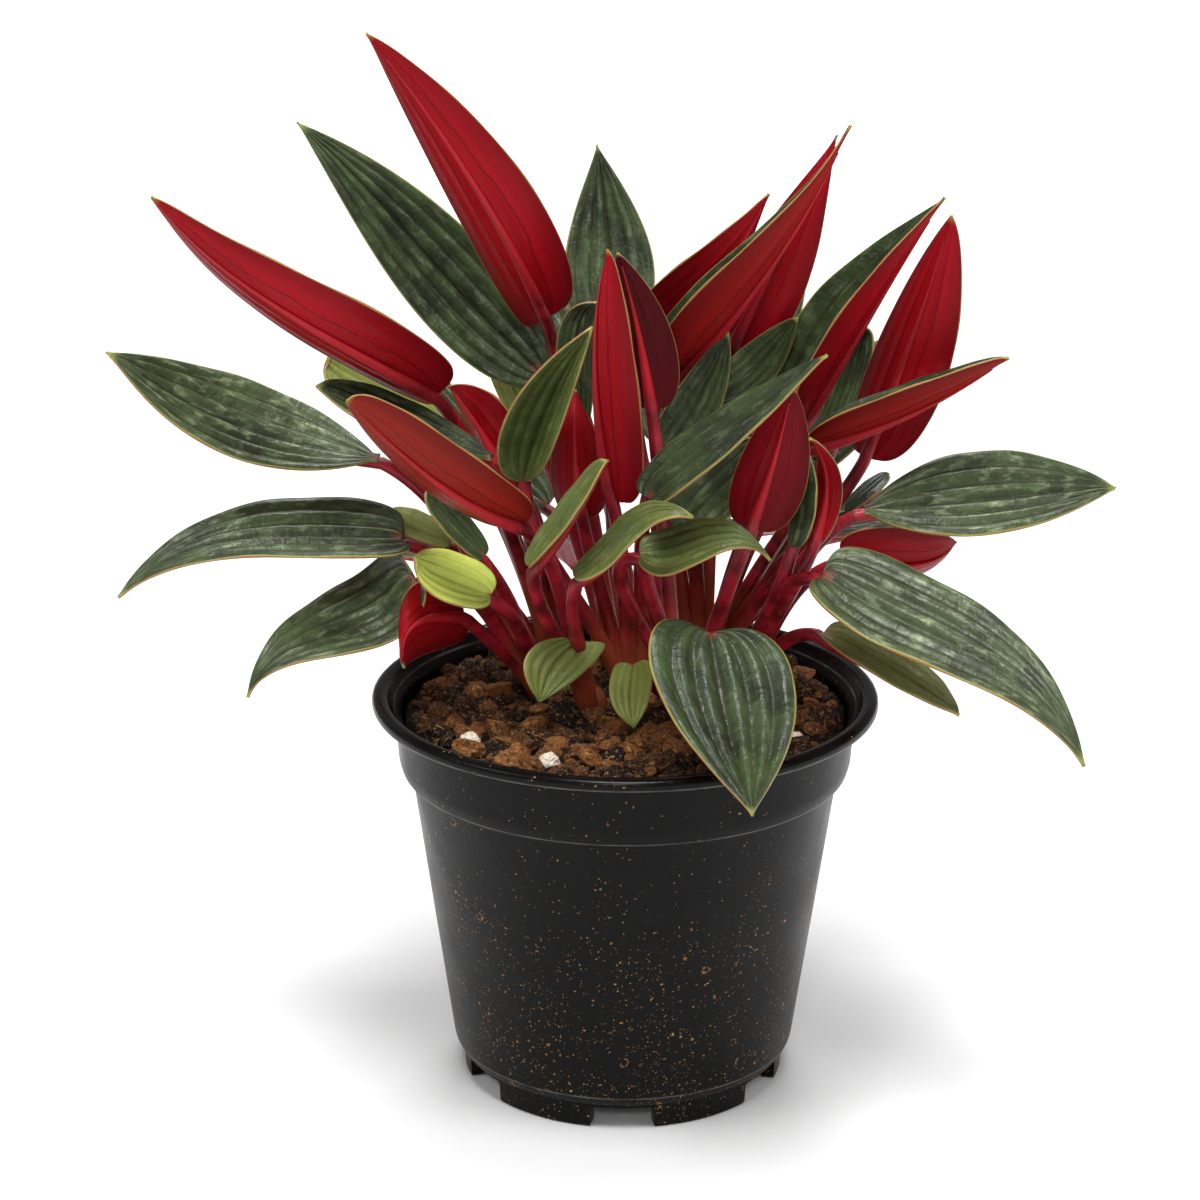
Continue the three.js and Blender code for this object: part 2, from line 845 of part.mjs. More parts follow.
        edges: [seen(868, 366, 20), seen(943, 392, 8)],
        roundness: 0.4,
        taper: 0.8,
        lobe: 0.05,
      },
      { // spear, red with a thin green edge
        shows: 'sky',
        base: seen(812, 445, 0),
        tip: seen(1008, 356, -6),
        edges: [seen(880, 398, -10), seen(884, 391, 8)],
        rib: seen(888, 421, -4),
        taper: 0.85,
      },
      { // green, right of it
        shows: 'top',
        small: true,
        base: seen(720, 400, 14),
        tip: seen(797, 317, 14),
        edges: [seen(732, 357, 20), seen(766, 388, 14)],
        taper: 0.8,
      },
      { // behind the far right leaf
        shows: 'top',
        small: true,
        base: seen(848, 512, 18),
        tip: seen(888, 474, 30),
        edges: [seen(862, 484, 26), seen(876, 494, 18)],
      },
      { // back, right, rising
        shows: 'sky',
        base: at(40, 36, 140),
        tip: at(78, 60, 171),
        edges: [at(46, 50, 158), at(59, 41, 147)],
      },
      { // back, low right
        shows: 'sky',
        base: at(46, 32, 124),
        tip: at(90, 58, 122),
        edges: [at(56, 50, 128), at(70, 34, 126)],
      },
      { // dark green between the stalks
        shows: 'top',
        small: true,
        base: seen(757, 605, 33),
        tip: seen(800, 530, 36),
        edges: [seen(762, 552, 39), seen(790, 572, 31)],
      },
    ],
  },
  {
    name: 'leafy_stem_back',
    x: 6,
    y: 40,
    leaves: [
      { // back, tall
        shows: 'top',
        base: at(-14, 52, 160),
        tip: at(-42, 74, 197),
        edges: [at(-30, 62, 168), at(-15, 66, 182)],
      },
      { // back, tall, right
        shows: 'top',
        base: at(22, 48, 148),
        tip: at(44, 68, 194),
        edges: [at(21, 60, 168), at(39, 56, 161)],
      },
      { // back, left
        shows: 'sky',
        base: at(-20, 50, 126),
        tip: at(-60, 77, 140),
        edges: [at(-29, 67, 138), at(-40, 53, 132)],
      },
      { // back, middle
        shows: 'top',
        base: at(10, 50, 142),
        tip: at(22, 76, 184),
        edges: [at(4, 62, 160), at(26, 60, 156)],
      },
      { // back, right
        shows: 'sky',
        base: at(30, 46, 135),
        tip: at(58, 70, 166),
        edges: [at(32, 60, 152), at(48, 50, 144)],
      },
      { // back, hanging low
        shows: 'sky',
        base: at(-6, 54, 116),
        tip: at(-14, 78, 101),
        edges: [at(-20, 62, 114), at(2, 66, 115)],
      },
      { // back, short right
        shows: 'sky',
        small: true,
        base: at(22, 50, 118),
        tip: at(40, 74, 112),
        edges: [at(22, 62, 119), at(36, 56, 118)],
      },
    ],
  },
];

// ---------------------------------------------------------------- the soil

// White grains on the soil: where each lies, and its radius.
const PERLITE = [
  { name: 'perlite_grain_left', x: -35.7, y: -23.5, radius: 2.6 },
  { name: 'perlite_grain_middle', x: -17.2, y: -35.8, radius: 2.6 },
  { name: 'perlite_grain_right', x: 39.4, y: -20, radius: 2.2 },
];

// A repeatable stream of numbers from 0 to 1.
function randomStream(seed) {
  let state = seed;
  return () => {
    state = (state + 0x6d2b79f5) | 0;
    let mixed = Math.imul(state ^ (state >>> 15), 1 | state);
    mixed ^= mixed + Math.imul(mixed ^ (mixed >>> 7), 61 | mixed);
    return ((mixed ^ (mixed >>> 14)) >>> 0) / 4294967296;
  };
}

function distanceToStem(x, y) {
  return Math.min(...STEMS.map((stem) => Math.hypot(x - stem.x, y - stem.y)));
}

// The soil's height: rough, and even where the stems come out of it.
function soilHeight(x, y) {
  const calm = THREE.MathUtils.smoothstep(distanceToStem(x, y), 6, 12);
  const coarse = Math.sin(0.61 * x + 0.35 * y) + Math.sin(0.27 * x - 0.72 * y + 2);
  const fine = Math.sin(0.95 * x + 0.5 * y + 1) * Math.cos(0.4 * x - 0.9 * y);
  return SOIL_LEVEL + RELIEF * calm * (0.45 * coarse + 0.6 * fine);
}

function soilGeometry() {
  const ring = (radius, height, count) => Array.from({ length: count }, (_, k) => {
    const turn = (2 * Math.PI * (k + 0.5)) / count;
    const [x, y] = [radius * Math.cos(turn), radius * Math.sin(turn)];
    return at(x, y, height ?? soilHeight(x, y));
  });
  const wall = [
    [BODY_RADIUS_FOOT - WALL - 1 - GAP, FLOOR_LEVEL + GAP],
    [BODY_RADIUS_FOOT - WALL - GAP, BODY_FOOT + 2.6 + GAP],
    [BODY_RADIUS_TOP - WALL - GAP, COLLAR_FOOT - 1],
    [COLLAR_RADIUS_FOOT - WALL - GAP, COLLAR_FOOT + 4 + GAP],
  ];
  const edge = COLLAR_RADIUS_FOOT - WALL - GAP;
  const rings = wall.map(([radius, height]) => ring(radius, height, POT_SIDES));
  for (let radius = edge; radius > 2; radius -= RELIEF_CELL) {
    rings.push(ring(radius, null, Math.min(POT_SIDES, Math.round((2 * Math.PI * radius) / RELIEF_CELL))));
  }
  const bed = skinSolid(rings);
  const filled = join([bed, ...crumbSolids(edge)]);
  const hollows = [
    ...STEMS.map(stemHoleSolid),
    ...PERLITE.map((grain) => grainSolid(grain, GAP)),
  ];
  return toGeometry(hollows.reduce((whole, hollow) => whole.subtract(hollow), filled));
}

// Bark crumbs, half sunk in the bed, clear of the stems, of the white grains and of each other.
function crumbSolids(edge) {
  const random = randomStream(11);
  const placed = PERLITE.map(({ x, y, radius }) => ({ x, y, radius }));
  const solids = [];
  while (solids.length < CRUMB_COUNT) {
    const radius = THREE.MathUtils.lerp(...CRUMB_RADIUS, random());
    const reach = (edge - radius - 1.5) * Math.sqrt(random());
    const turn = 2 * Math.PI * random();
    const [x, y] = [reach * Math.cos(turn), reach * Math.sin(turn)];
    const free = placed.every((other) => Math.hypot(x - other.x, y - other.y) > radius + other.radius + 1);
    if (free && distanceToStem(x, y) > radius + 8) {
      placed.push({ x, y, radius });
      solids.push(crumbSolid(x, y, radius, random));
    }
  }
  return solids;
}

const CRUMB_SHAPE = new THREE.Vector3(1, 0.8, 0.7);

function crumbSolid(x, y, radius, random) {
  const crumb = toSharedVertices(new THREE.IcosahedronGeometry(radius, 0));
  const corners = crumb.attributes.position;
  for (let i = 0; i < corners.count; i += 1) {
    const corner = new THREE.Vector3().fromBufferAttribute(corners, i);
    corner.multiply(CRUMB_SHAPE).multiplyScalar(0.8 + 0.35 * random());
    corners.setXYZ(i, corner.x, corner.y, corner.z);
  }
  crumb.rotateZ(2 * Math.PI * random());
  crumb.rotateX(0.6 * (random() - 0.5));
  crumb.translate(x, y, soilHeight(x, y));
  return toSolid(crumb);
}

function grainSolid({ x, y, radius }, grown) {
  const grain = new THREE.IcosahedronGeometry(radius + grown, 0);
  grain.translate(x, y, SOIL_LEVEL + 0.3 * radius);
  return toSolid(grain);
}

// ---------------------------------------------------------------- the assembly

function finish(name, color, roughness) {
  return new THREE.MeshStandardMaterial({ name, color, roughness, metalness: 0 });
}

const MATERIALS = {
  pot: finish('pot_plastic', 0x26272a, 0.45),
  soil: finish('bark_soil', 0x4a2c1a, 0.95),
  perlite: finish('perlite', 0xd8d2c6, 0.9),
  leaf: finish('leaf_flesh', 0x3d5a40, 0.4),
};

const plant = new THREE.Group();

function addPiece(name, geometry, material) {
  const mesh = new THREE.Mesh(geometry, material.clone());
  mesh.name = name;
  plant.add(mesh);
}

addPiece('pot', potGeometry(), MATERIALS.pot);
addPiece('soil', soilGeometry(), MATERIALS.soil);
for (const grain of PERLITE) {
  addPiece(grain.name, toGeometry(grainSolid(grain, 0)), MATERIALS.perlite);
}
for (const stem of STEMS) {
  addPiece(stem.name, toGeometry(stemSolid(stem)), MATERIALS.leaf);
}

export default plant;
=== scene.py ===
# %% [markdown]
# # A peperomia in its nursery pot
#
# The object is a young houseplant as a grower sells it: lance-shaped leaves, ribbed dark green
# above and crimson below, on fleshy red stalks, in chunky bark soil, in a black recycled-plastic
# pot. The solid model is the frame: it fixes where every piece is and how big it is.
# Each cell below dresses one piece of it, in metres, in the same place.

# %% Load the frame
import json
import math

import bmesh
import bpy
import numpy as np
from mathutils import Matrix, Vector, noise

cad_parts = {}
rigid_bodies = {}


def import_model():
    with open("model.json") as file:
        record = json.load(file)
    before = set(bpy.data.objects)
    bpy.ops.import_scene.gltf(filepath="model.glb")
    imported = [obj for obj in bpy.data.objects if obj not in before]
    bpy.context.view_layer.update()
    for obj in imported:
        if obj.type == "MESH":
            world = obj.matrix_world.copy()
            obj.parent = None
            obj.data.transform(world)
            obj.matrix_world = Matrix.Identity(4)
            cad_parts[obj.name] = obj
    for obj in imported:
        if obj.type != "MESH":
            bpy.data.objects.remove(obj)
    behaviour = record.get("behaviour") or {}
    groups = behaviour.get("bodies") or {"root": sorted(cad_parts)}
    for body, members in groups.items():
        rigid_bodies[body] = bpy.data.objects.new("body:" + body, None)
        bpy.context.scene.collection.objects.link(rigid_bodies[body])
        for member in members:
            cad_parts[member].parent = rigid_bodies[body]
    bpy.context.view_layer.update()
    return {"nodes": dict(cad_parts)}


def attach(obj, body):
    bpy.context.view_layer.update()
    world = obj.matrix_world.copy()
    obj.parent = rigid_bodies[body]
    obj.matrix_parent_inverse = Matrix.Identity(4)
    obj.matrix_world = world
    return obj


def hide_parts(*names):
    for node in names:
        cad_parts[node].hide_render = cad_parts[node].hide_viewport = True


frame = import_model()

print("The solid model's nodes:", ", ".join(sorted(frame["nodes"])))

# %% [markdown]
# ## Units and places
#
# A pot and its plant are thought of in millimetres, so the sizes below are millimetres too, and
# one factor turns them into Blender's metres. Most leaves are placed by where they show in a
# picture of the plant: a point is given by its place across and down a square picture of 1200
# steps, and by how far behind the pot's axis it is. That is how a modeller works from a
# photograph: the camera is recovered first, and then every leaf's base, tip and widest place
# is set on its sight line, at the depth where its stalk can reach it.

# %% Millimetres, and the camera's place and aim
MM = 0.001
EYE = np.array([0.0, -719.0, 356.0])
EYE_PITCH = math.radians(18.32)
EYE_YAW = math.radians(-0.48)
EYE_ROLL = math.radians(0.22)
FOCAL_STEPS = 3227
PICTURE_MIDDLE = 600
SENSOR_WIDTH = 36
FURTHEST_VIEW = 20000

SKY = np.array([0.0, 0.0, 1.0])
AHEAD = np.array([
    math.sin(EYE_YAW) * math.cos(EYE_PITCH),
    math.cos(EYE_YAW) * math.cos(EYE_PITCH),
    -math.sin(EYE_PITCH),
])
level = Vector((math.cos(EYE_YAW), -math.sin(EYE_YAW), 0))
ACROSS = np.array(Matrix.Rotation(-EYE_ROLL, 3, Vector(AHEAD)) @ level)
UPWARD = np.cross(ACROSS, AHEAD)


def seen(across, down, depth):
    """The point, in mm, that shows at a place of the picture, at a depth behind the pot's axis."""
    ray = AHEAD + ACROSS * (across - PICTURE_MIDDLE) / FOCAL_STEPS
    ray = ray + UPWARD * (PICTURE_MIDDLE - down) / FOCAL_STEPS
    return EYE + ray * (depth - EYE[1]) / ray[1]


def at(x, y, z):
    """A point in mm."""
    return np.array([x, y, z], dtype=float)


print("The picture's middle looks at", seen(600, 600, 0).round(1), "mm")

# %% Put the camera there
camera_data = bpy.data.cameras.new("camera")
camera_data.sensor_width = SENSOR_WIDTH
camera_data.lens = FOCAL_STEPS / (2 * PICTURE_MIDDLE) * SENSOR_WIDTH
camera_data.clip_end = FURTHEST_VIEW * MM
camera = bpy.data.objects.new("camera", camera_data)
axes = np.column_stack([ACROSS, UPWARD, -AHEAD])
camera.matrix_world = Matrix.Translation(Vector(EYE * MM)) @ Matrix(axes.tolist()).to_4x4()
bpy.context.collection.objects.link(camera)
bpy.context.scene.camera = camera
print("Lens:", round(camera_data.lens, 1), "mm")

# %% [markdown]
# ## Small tools
#
# A node tree, for a material or for geometry, is a list of nodes and of what feeds what. The
# first tool adds a node, sets it up and links it in one call, so that each tree below reads
# like a recipe. The others make a mesh from rows of points, keep values on its points, and
# turn an object with modifiers into a plain mesh.


# %% Add a node
def add(tree, kind, inputs=None, **settings):
    """One node of a tree. Inputs go by name or number, and hold a value or another's socket."""
    made = tree.nodes.new(kind)
    for name, value in settings.items():
        setattr(made, name, value)
    for key, value in (inputs or {}).items():
        if isinstance(value, bpy.types.NodeSocket):
            tree.links.new(value, made.inputs[key])
        else:
            made.inputs[key].default_value = value
    return made


def calculate(tree, operation, first, second=0.0):
    """One step of arithmetic, on numbers or on sockets."""
    return add(tree, "ShaderNodeMath", {0: first, 1: second}, operation=operation).outputs[0]


# %% Helpers for materials
def color(hex_digits):
    """A screen colour such as 'a0522d' as the linear numbers that a shader takes."""
    channels = [int(hex_digits[i:i + 2], 16) / 255 for i in (0, 2, 4)]
    linear = [c / 12.92 if c <= 0.04045 else ((c + 0.055) / 1.055) ** 2.4 for c in channels]
    return (*linear, 1.0)


def mix(tree, factor, first, second):
    """The first colour where the factor is 0, and the second where it is 1."""
    return add(tree, "ShaderNodeMix", {0: factor, 6: first, 7: second}, data_type="RGBA").outputs[2]


def spread(tree, value, low, high, to_low=0.0, to_high=1.0):
    """Stretches the values from low to high over to_low to to_high, and holds them beyond."""
    inputs = {"Value": value, "From Min": low, "From Max": high, "To Min": to_low, "To Max": to_high}
    return add(tree, "ShaderNodeMapRange", inputs, interpolation_type="SMOOTHSTEP").outputs[0]


def grain(tree, place, scale, detail=3.0, roughness=0.55, distortion=0.0):
    """Soft noise, with that many lumps to one unit of the place that it reads."""
    inputs = {"Vector": place, "Scale": scale, "Detail": detail, "Roughness": roughness}
    inputs["Distortion"] = distortion
    return add(tree, "ShaderNodeTexNoise", inputs).outputs["Fac"]


def stretched(tree, place, x, y, z):
    """The same place with each direction scaled, which draws a pattern out into streaks."""
    return add(tree, "ShaderNodeVectorMath", {0: place, 1: (x, y, z)}, operation="MULTIPLY").outputs[0]


def distance_to(tree, value, levels):
    """How far the value is from the nearest of the levels."""
    nearest = None
    for one_level in levels:
        off = calculate(tree, "ABSOLUTE", calculate(tree, "SUBTRACT", value, float(one_level)))
        nearest = off if nearest is None else calculate(tree, "MINIMUM", nearest, off)
    return nearest


def kept(tree, name, output="Fac"):
    """A value that the mesh keeps on its points."""
    return add(tree, "ShaderNodeAttribute", attribute_name=name).outputs[output]


def new_material(name):
    """An empty material: its tree, its shader, and the object's own coordinates in metres."""
    material = bpy.data.materials.new(name)
    material.use_nodes = True
    tree = material.node_tree
    shader = tree.nodes["Principled BSDF"]
    place = add(tree, "ShaderNodeTexCoord").outputs["Object"]
    return material, tree, shader, place


def set_shader(shader, **values):
    """Numbers that are the same all over a surface, set on the shader's own sockets."""
    for name, value in values.items():
        shader.inputs[name.replace("_", " ")].default_value = value


def bump(tree, shader, height, distance):
    """Raises the surface by height, from 0 to 1, times a distance in mm."""
    inputs = {"Height": height, "Distance": distance * MM, "Strength": 1.0}
    made = add(tree, "ShaderNodeBump", inputs)
    tree.links.new(made.outputs["Normal"], shader.inputs["Normal"])


# %% Helpers for meshes
def new_object(name, points, faces, material):
    """An object at the origin, from points in mm and faces that turn anticlockwise."""
    mesh = bpy.data.meshes.new(name)
    mesh.from_pydata((np.asarray(points) * MM).tolist(), [], faces)
    mesh.materials.append(material)
    mesh.validate()
    made = bpy.data.objects.new(name, mesh)
    bpy.context.collection.objects.link(made)
    return made


def keep_values(mesh, name, values):
    """Keeps one number, or one vector, for each of the mesh's points."""
    values = np.asarray(values, dtype=np.float32)
    kind, field = ("FLOAT", "value") if values.ndim == 1 else ("FLOAT_VECTOR", "vector")
    attribute = mesh.attributes.new(name, kind, "POINT")
    attribute.data.foreach_set(field, values.ravel())


def smooth_shading(mesh, sharp_angle=None):
    """Shades the faces round, but for edges sharper than the angle in degrees, if one is given."""
    mesh.polygons.foreach_set("use_smooth", [True] * len(mesh.polygons))
    if sharp_angle is not None:
        mesh.set_sharp_from_angle(angle=math.radians(sharp_angle))
    mesh.update()


def to_plain_mesh(source, name):
    """What the modifiers of an object give, as a plain mesh object in its place."""
    shown = source.evaluated_get(bpy.context.evaluated_depsgraph_get())
    mesh = bpy.data.meshes.new_from_object(shown)
    mesh.name = name
    materials = [m for m in mesh.materials if m]
    made = bpy.data.objects.new(name, mesh)
    bpy.context.collection.objects.link(made)
    bpy.data.objects.remove(source)
    print(name, "has", len(mesh.polygons), "faces and", len(materials), "material(s)")
    return made


def set_inputs(modifier, **values):
    """Sets a Geometry Nodes modifier's named inputs, by the identifiers of their sockets."""
    for item in modifier.node_group.interface.items_tree:
        key = item.name.replace(" ", "_")
        if item.item_type == "SOCKET" and item.in_out == "INPUT" and key in values:
            modifier[item.identifier] = values[key]


def new_tree(name, **sockets):
    """A Geometry Nodes tree with a geometry input and output and the named inputs."""
    tree = bpy.data.node_groups.new(name, "GeometryNodeTree")
    tree.interface.new_socket("Geometry", in_out="OUTPUT", socket_type="NodeSocketGeometry")
    tree.interface.new_socket("Geometry", in_out="INPUT", socket_type="NodeSocketGeometry")
    for key, kind in sockets.items():
        tree.interface.new_socket(key.replace("_", " "), in_out="INPUT", socket_type="NodeSocket" + kind)
    return tree, add(tree, "NodeGroupInput").outputs, add(tree, "NodeGroupOutput")


# %% [markdown]
# ## The room: a pale floor and soft light
#
# The plant was pictured on a white sweep that was lit on its own until it was nearly paper white.
# One lamp above and in front does most of the work, a small one makes the ridges and the rim
# glint, two side panels draw lines of light along the dark plastic, and one lamp behind lifts the
# leaf edges. The room itself is dim, so that black stays black. The floor's own material paints
# light in: it glows more and more away from the pot, as the sweep does, so that only the soft
# shadow round the feet shows.

# %% The floor
FLOOR_HALF_WIDTH = 6000
GLOW_NEAR, GLOW_FAR, GLOW_HORIZON = 0.02, 0.45, 1.05
GLOW_FROM, GLOW_TO = 48 * MM, 120 * MM
HORIZON_FROM, HORIZON_TO = 300 * MM, 1300 * MM

floor_material, tree, shader, place = new_material("floor_white")
tone = mix(tree, grain(tree, place, 3), color("c9c9c9"), color("cdcdcd"))
tree.links.new(tone, shader.inputs["Base Color"])
# Painted light: the floor glows by its own emission, faintly near the pot and strongly far off.
from_pot = add(tree, "ShaderNodeVectorMath", {0: place}, operation="LENGTH").outputs["Value"]
glow = spread(tree, from_pot, GLOW_FROM, GLOW_TO, GLOW_NEAR, GLOW_FAR)
horizon = spread(tree, from_pot, HORIZON_FROM, HORIZON_TO, 0, GLOW_HORIZON)
glow = calculate(tree, "MAXIMUM", glow, horizon)
tree.links.new(glow, shader.inputs["Emission Strength"])
set_shader(shader, Roughness=0.9, Specular_IOR_Level=0.1, Emission_Color=(1, 1, 1, 1))
signs = ((-1, -1), (1, -1), (1, 1), (-1, 1))
corners = [(sx * FLOOR_HALF_WIDTH, sy * FLOOR_HALF_WIDTH, 0) for sx, sy in signs]
floor = new_object("floor", corners, [(0, 1, 2, 3)], floor_material)

# %% The lamps and the white surroundings
ROOM_LIGHT = 0.27
LAMPS = {
    # name: (place in mm, aim in mm, size in mm, watts)
    "lamp_above_front": ((-40, -440, 1450), (0, 0, 90), 500, 22),
    "lamp_glint": ((-60, -1150, 750), (0, 0, 120), 200, 3.8),
    "lamp_left": ((-900, -350, 900), (0, 0, 110), 460, 3.3),
    "lamp_right": ((900, -350, 900), (0, 0, 110), 460, 4.1),
    "lamp_behind": ((60, 900, 1250), (0, 0, 120), 600, 13),
}
for name, (spot, aim, size, watts) in LAMPS.items():
    lamp = bpy.data.lights.new(name, "AREA")
    lamp.shape = "SQUARE"
    lamp.size = size * MM
    lamp.energy = watts
    holder = bpy.data.objects.new(name, lamp)
    holder.location = Vector(spot) * MM
    holder.rotation_euler = (Vector(aim) - Vector(spot)).to_track_quat("-Z", "Y").to_euler()
    bpy.context.collection.objects.link(holder)

world = bpy.data.worlds.new("white_room")
world.use_nodes = True
background = world.node_tree.nodes["Background"]
background.inputs["Color"].default_value = (1, 1, 1, 1)
background.inputs["Strength"].default_value = ROOM_LIGHT
bpy.context.scene.world = world
bpy.context.scene.view_settings.view_transform = "Standard"
print(len(LAMPS), "lamps")

# %% [markdown]
# ## The pot: its shape
#
# A nursery pot is injection moulded and drafted, so that it leaves the mould and nests in the
# next one. It is a turned shape: a broad flat rim, a stepped collar that stops stacked pots from
# jamming, and a wall that tapers to a ring of feet. A turned shape needs only its outline, so the
# outline is drawn once, its corners are rounded like the mould's, and it is spun round the axis.
# Subdivision would soften the crisp steps, and a bevel would have to guess them.

# %% Driving sizes of the pot
POT_HEIGHT = 96
RIM_RADIUS = 60
RIM_WIDTH = 4.4
LIP_DEPTH = 3.1
COLLAR_RADIUS_TOP = 54.5
COLLAR_RADIUS_FOOT = 53.7
COLLAR_FOOT = 76.5
BODY_RADIUS_TOP = 50.7
BODY_RADIUS_FOOT = 41
BODY_FOOT = 6.5
FOOT_RADIUS = 38.6
FOOT_RING_WIDTH = 3.4
WALL = 1.5
FLOOR_LEVEL = 8.4
POT_SEGMENTS = 240
POT_CREASE_ANGLE = 32

# points to a rounded corner, and the most of a side that one corner may take
CORNER_STEPS = 5
MOST_CUT = 0.45


# %% Round an outline's corners
def rounded(outline_points):
    """Replaces each corner (radius, height, rounding) by an arc of that rounding in mm."""
    points = [np.array(p[:2], dtype=float) for p in outline_points]
    result = [points[0]]
    for i in range(1, len(points) - 1):
        corner, rounding = points[i], outline_points[i][2]
        before, after = points[i - 1] - corner, points[i + 1] - corner
        cut = min(rounding, MOST_CUT * np.linalg.norm(before), MOST_CUT * np.linalg.norm(after))
        first = corner + before / np.linalg.norm(before) * cut
        last = corner + after / np.linalg.norm(after) * cut
        for t in np.linspace(0, 1, CORNER_STEPS):
            result.append((1 - t) ** 2 * first + 2 * t * (1 - t) * corner + t * t * last)
    result.append(points[-1])
    return np.array(result)


# %% The pot's outline, from the floor's middle round the outside and back inside
lip = POT_HEIGHT - LIP_DEPTH
POT_OUTLINE = [
    (0, BODY_FOOT + 0.1, 0),
    (FOOT_RADIUS - FOOT_RING_WIDTH, BODY_FOOT + 0.1, 0.8),
    (FOOT_RADIUS - FOOT_RING_WIDTH + 0.3, 0, 0.6),
    (FOOT_RADIUS, 0, 0.7),
    (FOOT_RADIUS + 0.3, BODY_FOOT, 0.4),
    (BODY_RADIUS_FOOT - 1.1, BODY_FOOT, 0.7),
    (BODY_RADIUS_FOOT + 0.1, BODY_FOOT + 2.2, 1.4),
    (BODY_RADIUS_TOP, COLLAR_FOOT, 0.5),
    (COLLAR_RADIUS_FOOT - 0.8, COLLAR_FOOT + 1.0, 0.7),
    (COLLAR_RADIUS_FOOT, COLLAR_FOOT + 3.6, 2.4),
    (COLLAR_RADIUS_TOP, lip - 0.2, 0.5),
    (RIM_RADIUS - 0.5, lip, 0.9),
    (RIM_RADIUS, lip + 1.2, 0.9),
    (RIM_RADIUS - 0.3, POT_HEIGHT - 0.7, 0.8),
    (RIM_RADIUS - 1.6, POT_HEIGHT, 1.2),
    (RIM_RADIUS - RIM_WIDTH + 0.9, POT_HEIGHT - 0.35, 0.9),
    (RIM_RADIUS - RIM_WIDTH, POT_HEIGHT - 1.6, 0.7),
    (COLLAR_RADIUS_TOP - WALL, lip - 1.6, 0.9),
    (COLLAR_RADIUS_FOOT - WALL, COLLAR_FOOT + 4, 0.8),
    (BODY_RADIUS_TOP - WALL, COLLAR_FOOT - 1, 0.8),
    (BODY_RADIUS_FOOT - WALL, BODY_FOOT + 2.6, 0.8),
    (BODY_RADIUS_FOOT - WALL - 1, FLOOR_LEVEL, 0.8),
    (0, FLOOR_LEVEL, 0),
]
pot_profile = rounded(POT_OUTLINE)
print("The pot's outline has", len(pot_profile), "points")


# %% Spin an outline round the upright axis
def spun(name, profile, segments, material):
    """A closed turned body. The profile starts and ends on the axis, outside first."""
    turns = 2 * np.pi * np.arange(segments) / segments
    rings = profile[1:-1]
    points = [(r * math.cos(t), r * math.sin(t), z) for r, z in rings for t in turns]
    points += [(0, 0, profile[0][1]), (0, 0, profile[-1][1])]
    low_pole, high_pole = len(points) - 2, len(points) - 1
    faces = []
    for i in range(len(rings) - 1):
        for k in range(segments):
            a, b = i * segments + k, i * segments + (k + 1) % segments
            faces.append((a, b, b + segments, a + segments))
    last = (len(rings) - 1) * segments
    for k in range(segments):
        faces.append((low_pole, (k + 1) % segments, k))
        faces.append((high_pole, last + k, last + (k + 1) % segments))
    return new_object(name, points, faces, material)


# %% [markdown]
# ## The pot: its plastic
#
# The pot is moulded from recycled plastic, charcoal black with a satin skin. Bits of coloured
# scrap that didn't melt show as tan and orange flecks, with a few drawn out into curls by the
# flow, and there are more of them low down, near the gate where the plastic enters the mould. A
# cell pattern gives one fleck to a cell: the distance to the cell's centre draws the dot, the
# cell's own random colour says whether there is a dot and which tint it has. A ring at a fixed
# distance, broken up by noise, draws the curls. Along each moulded edge that stands out, a thin
# grey line broken up by noise is a painted highlight, where that edge catches the light.

# %% The flecked plastic
FLECK_TAN = color("a9814a")
FLECK_ORANGE = color("93602f")
PLASTIC_BLACK = color("070707")
PLASTIC_GREY = color("0d0d0c")
EDGE_HIGHLIGHT_GREY = color("5c5a57")
EDGE_LEVELS = (BODY_FOOT + 2.3, COLLAR_FOOT + 1.2, POT_HEIGHT - LIP_DEPTH + 0.4)
EDGE_WIDTH = 0.32
SMALLEST_FLECK = 0.25
CURL_LINE = 0.11
CURL_BREAKS = 260
WOBBLE = (1.6, 1.6, 1.1)

# each kind's cell and fleck size in mm, and the share of its cells that hold one where crowd is 1
FINE_FLECKS = (0.7, 0.2, 0.8)
COARSE_FLECKS = (2.4, 0.42, 0.5)
CURLED_FLECKS = (6.5, 1.0, 0.5)


def sparse_cells(tree, place, crowd, cell, share):
    """Cells: the distance from each one's point, 1 in the picked ones, and two random values."""
    inputs = {"Vector": place, "Scale": 1 / (cell * MM), "Randomness": 1.0}
    cells = add(tree, "ShaderNodeTexVoronoi", inputs)
    own = add(tree, "ShaderNodeSeparateColor", {0: cells.outputs["Color"]}).outputs
    picked = calculate(tree, "LESS_THAN", own[0], calculate(tree, "MULTIPLY", crowd, share))
    return cells.outputs["Distance"], picked, own[1], own[2]


def flecks(tree, place, crowd, cell, size, share):
    """A mask of dots, one to a picked cell, and each dot's tint."""
    distance, picked, bigness, tint = sparse_cells(tree, place, crowd, cell, share)
    radius = spread(tree, bigness, 0, 1, SMALLEST_FLECK * size / cell, size / cell)
    dot = calculate(tree, "LESS_THAN", distance, radius)
    return calculate(tree, "MULTIPLY", dot, picked), tint


def curls(tree, place, crowd, cell, size, share):
    """Short curved streaks: parts of a thin ring in the picked cells."""
    distance, picked, _, _ = sparse_cells(tree, place, crowd, cell, share)
    off = calculate(tree, "SUBTRACT", distance, size / cell)
    line = calculate(tree, "LESS_THAN", calculate(tree, "ABSOLUTE", off), CURL_LINE / cell)
    broken = calculate(tree, "GREATER_THAN", grain(tree, place, CURL_BREAKS), 0.5)
    return calculate(tree, "MULTIPLY", calculate(tree, "MULTIPLY", line, picked), broken)


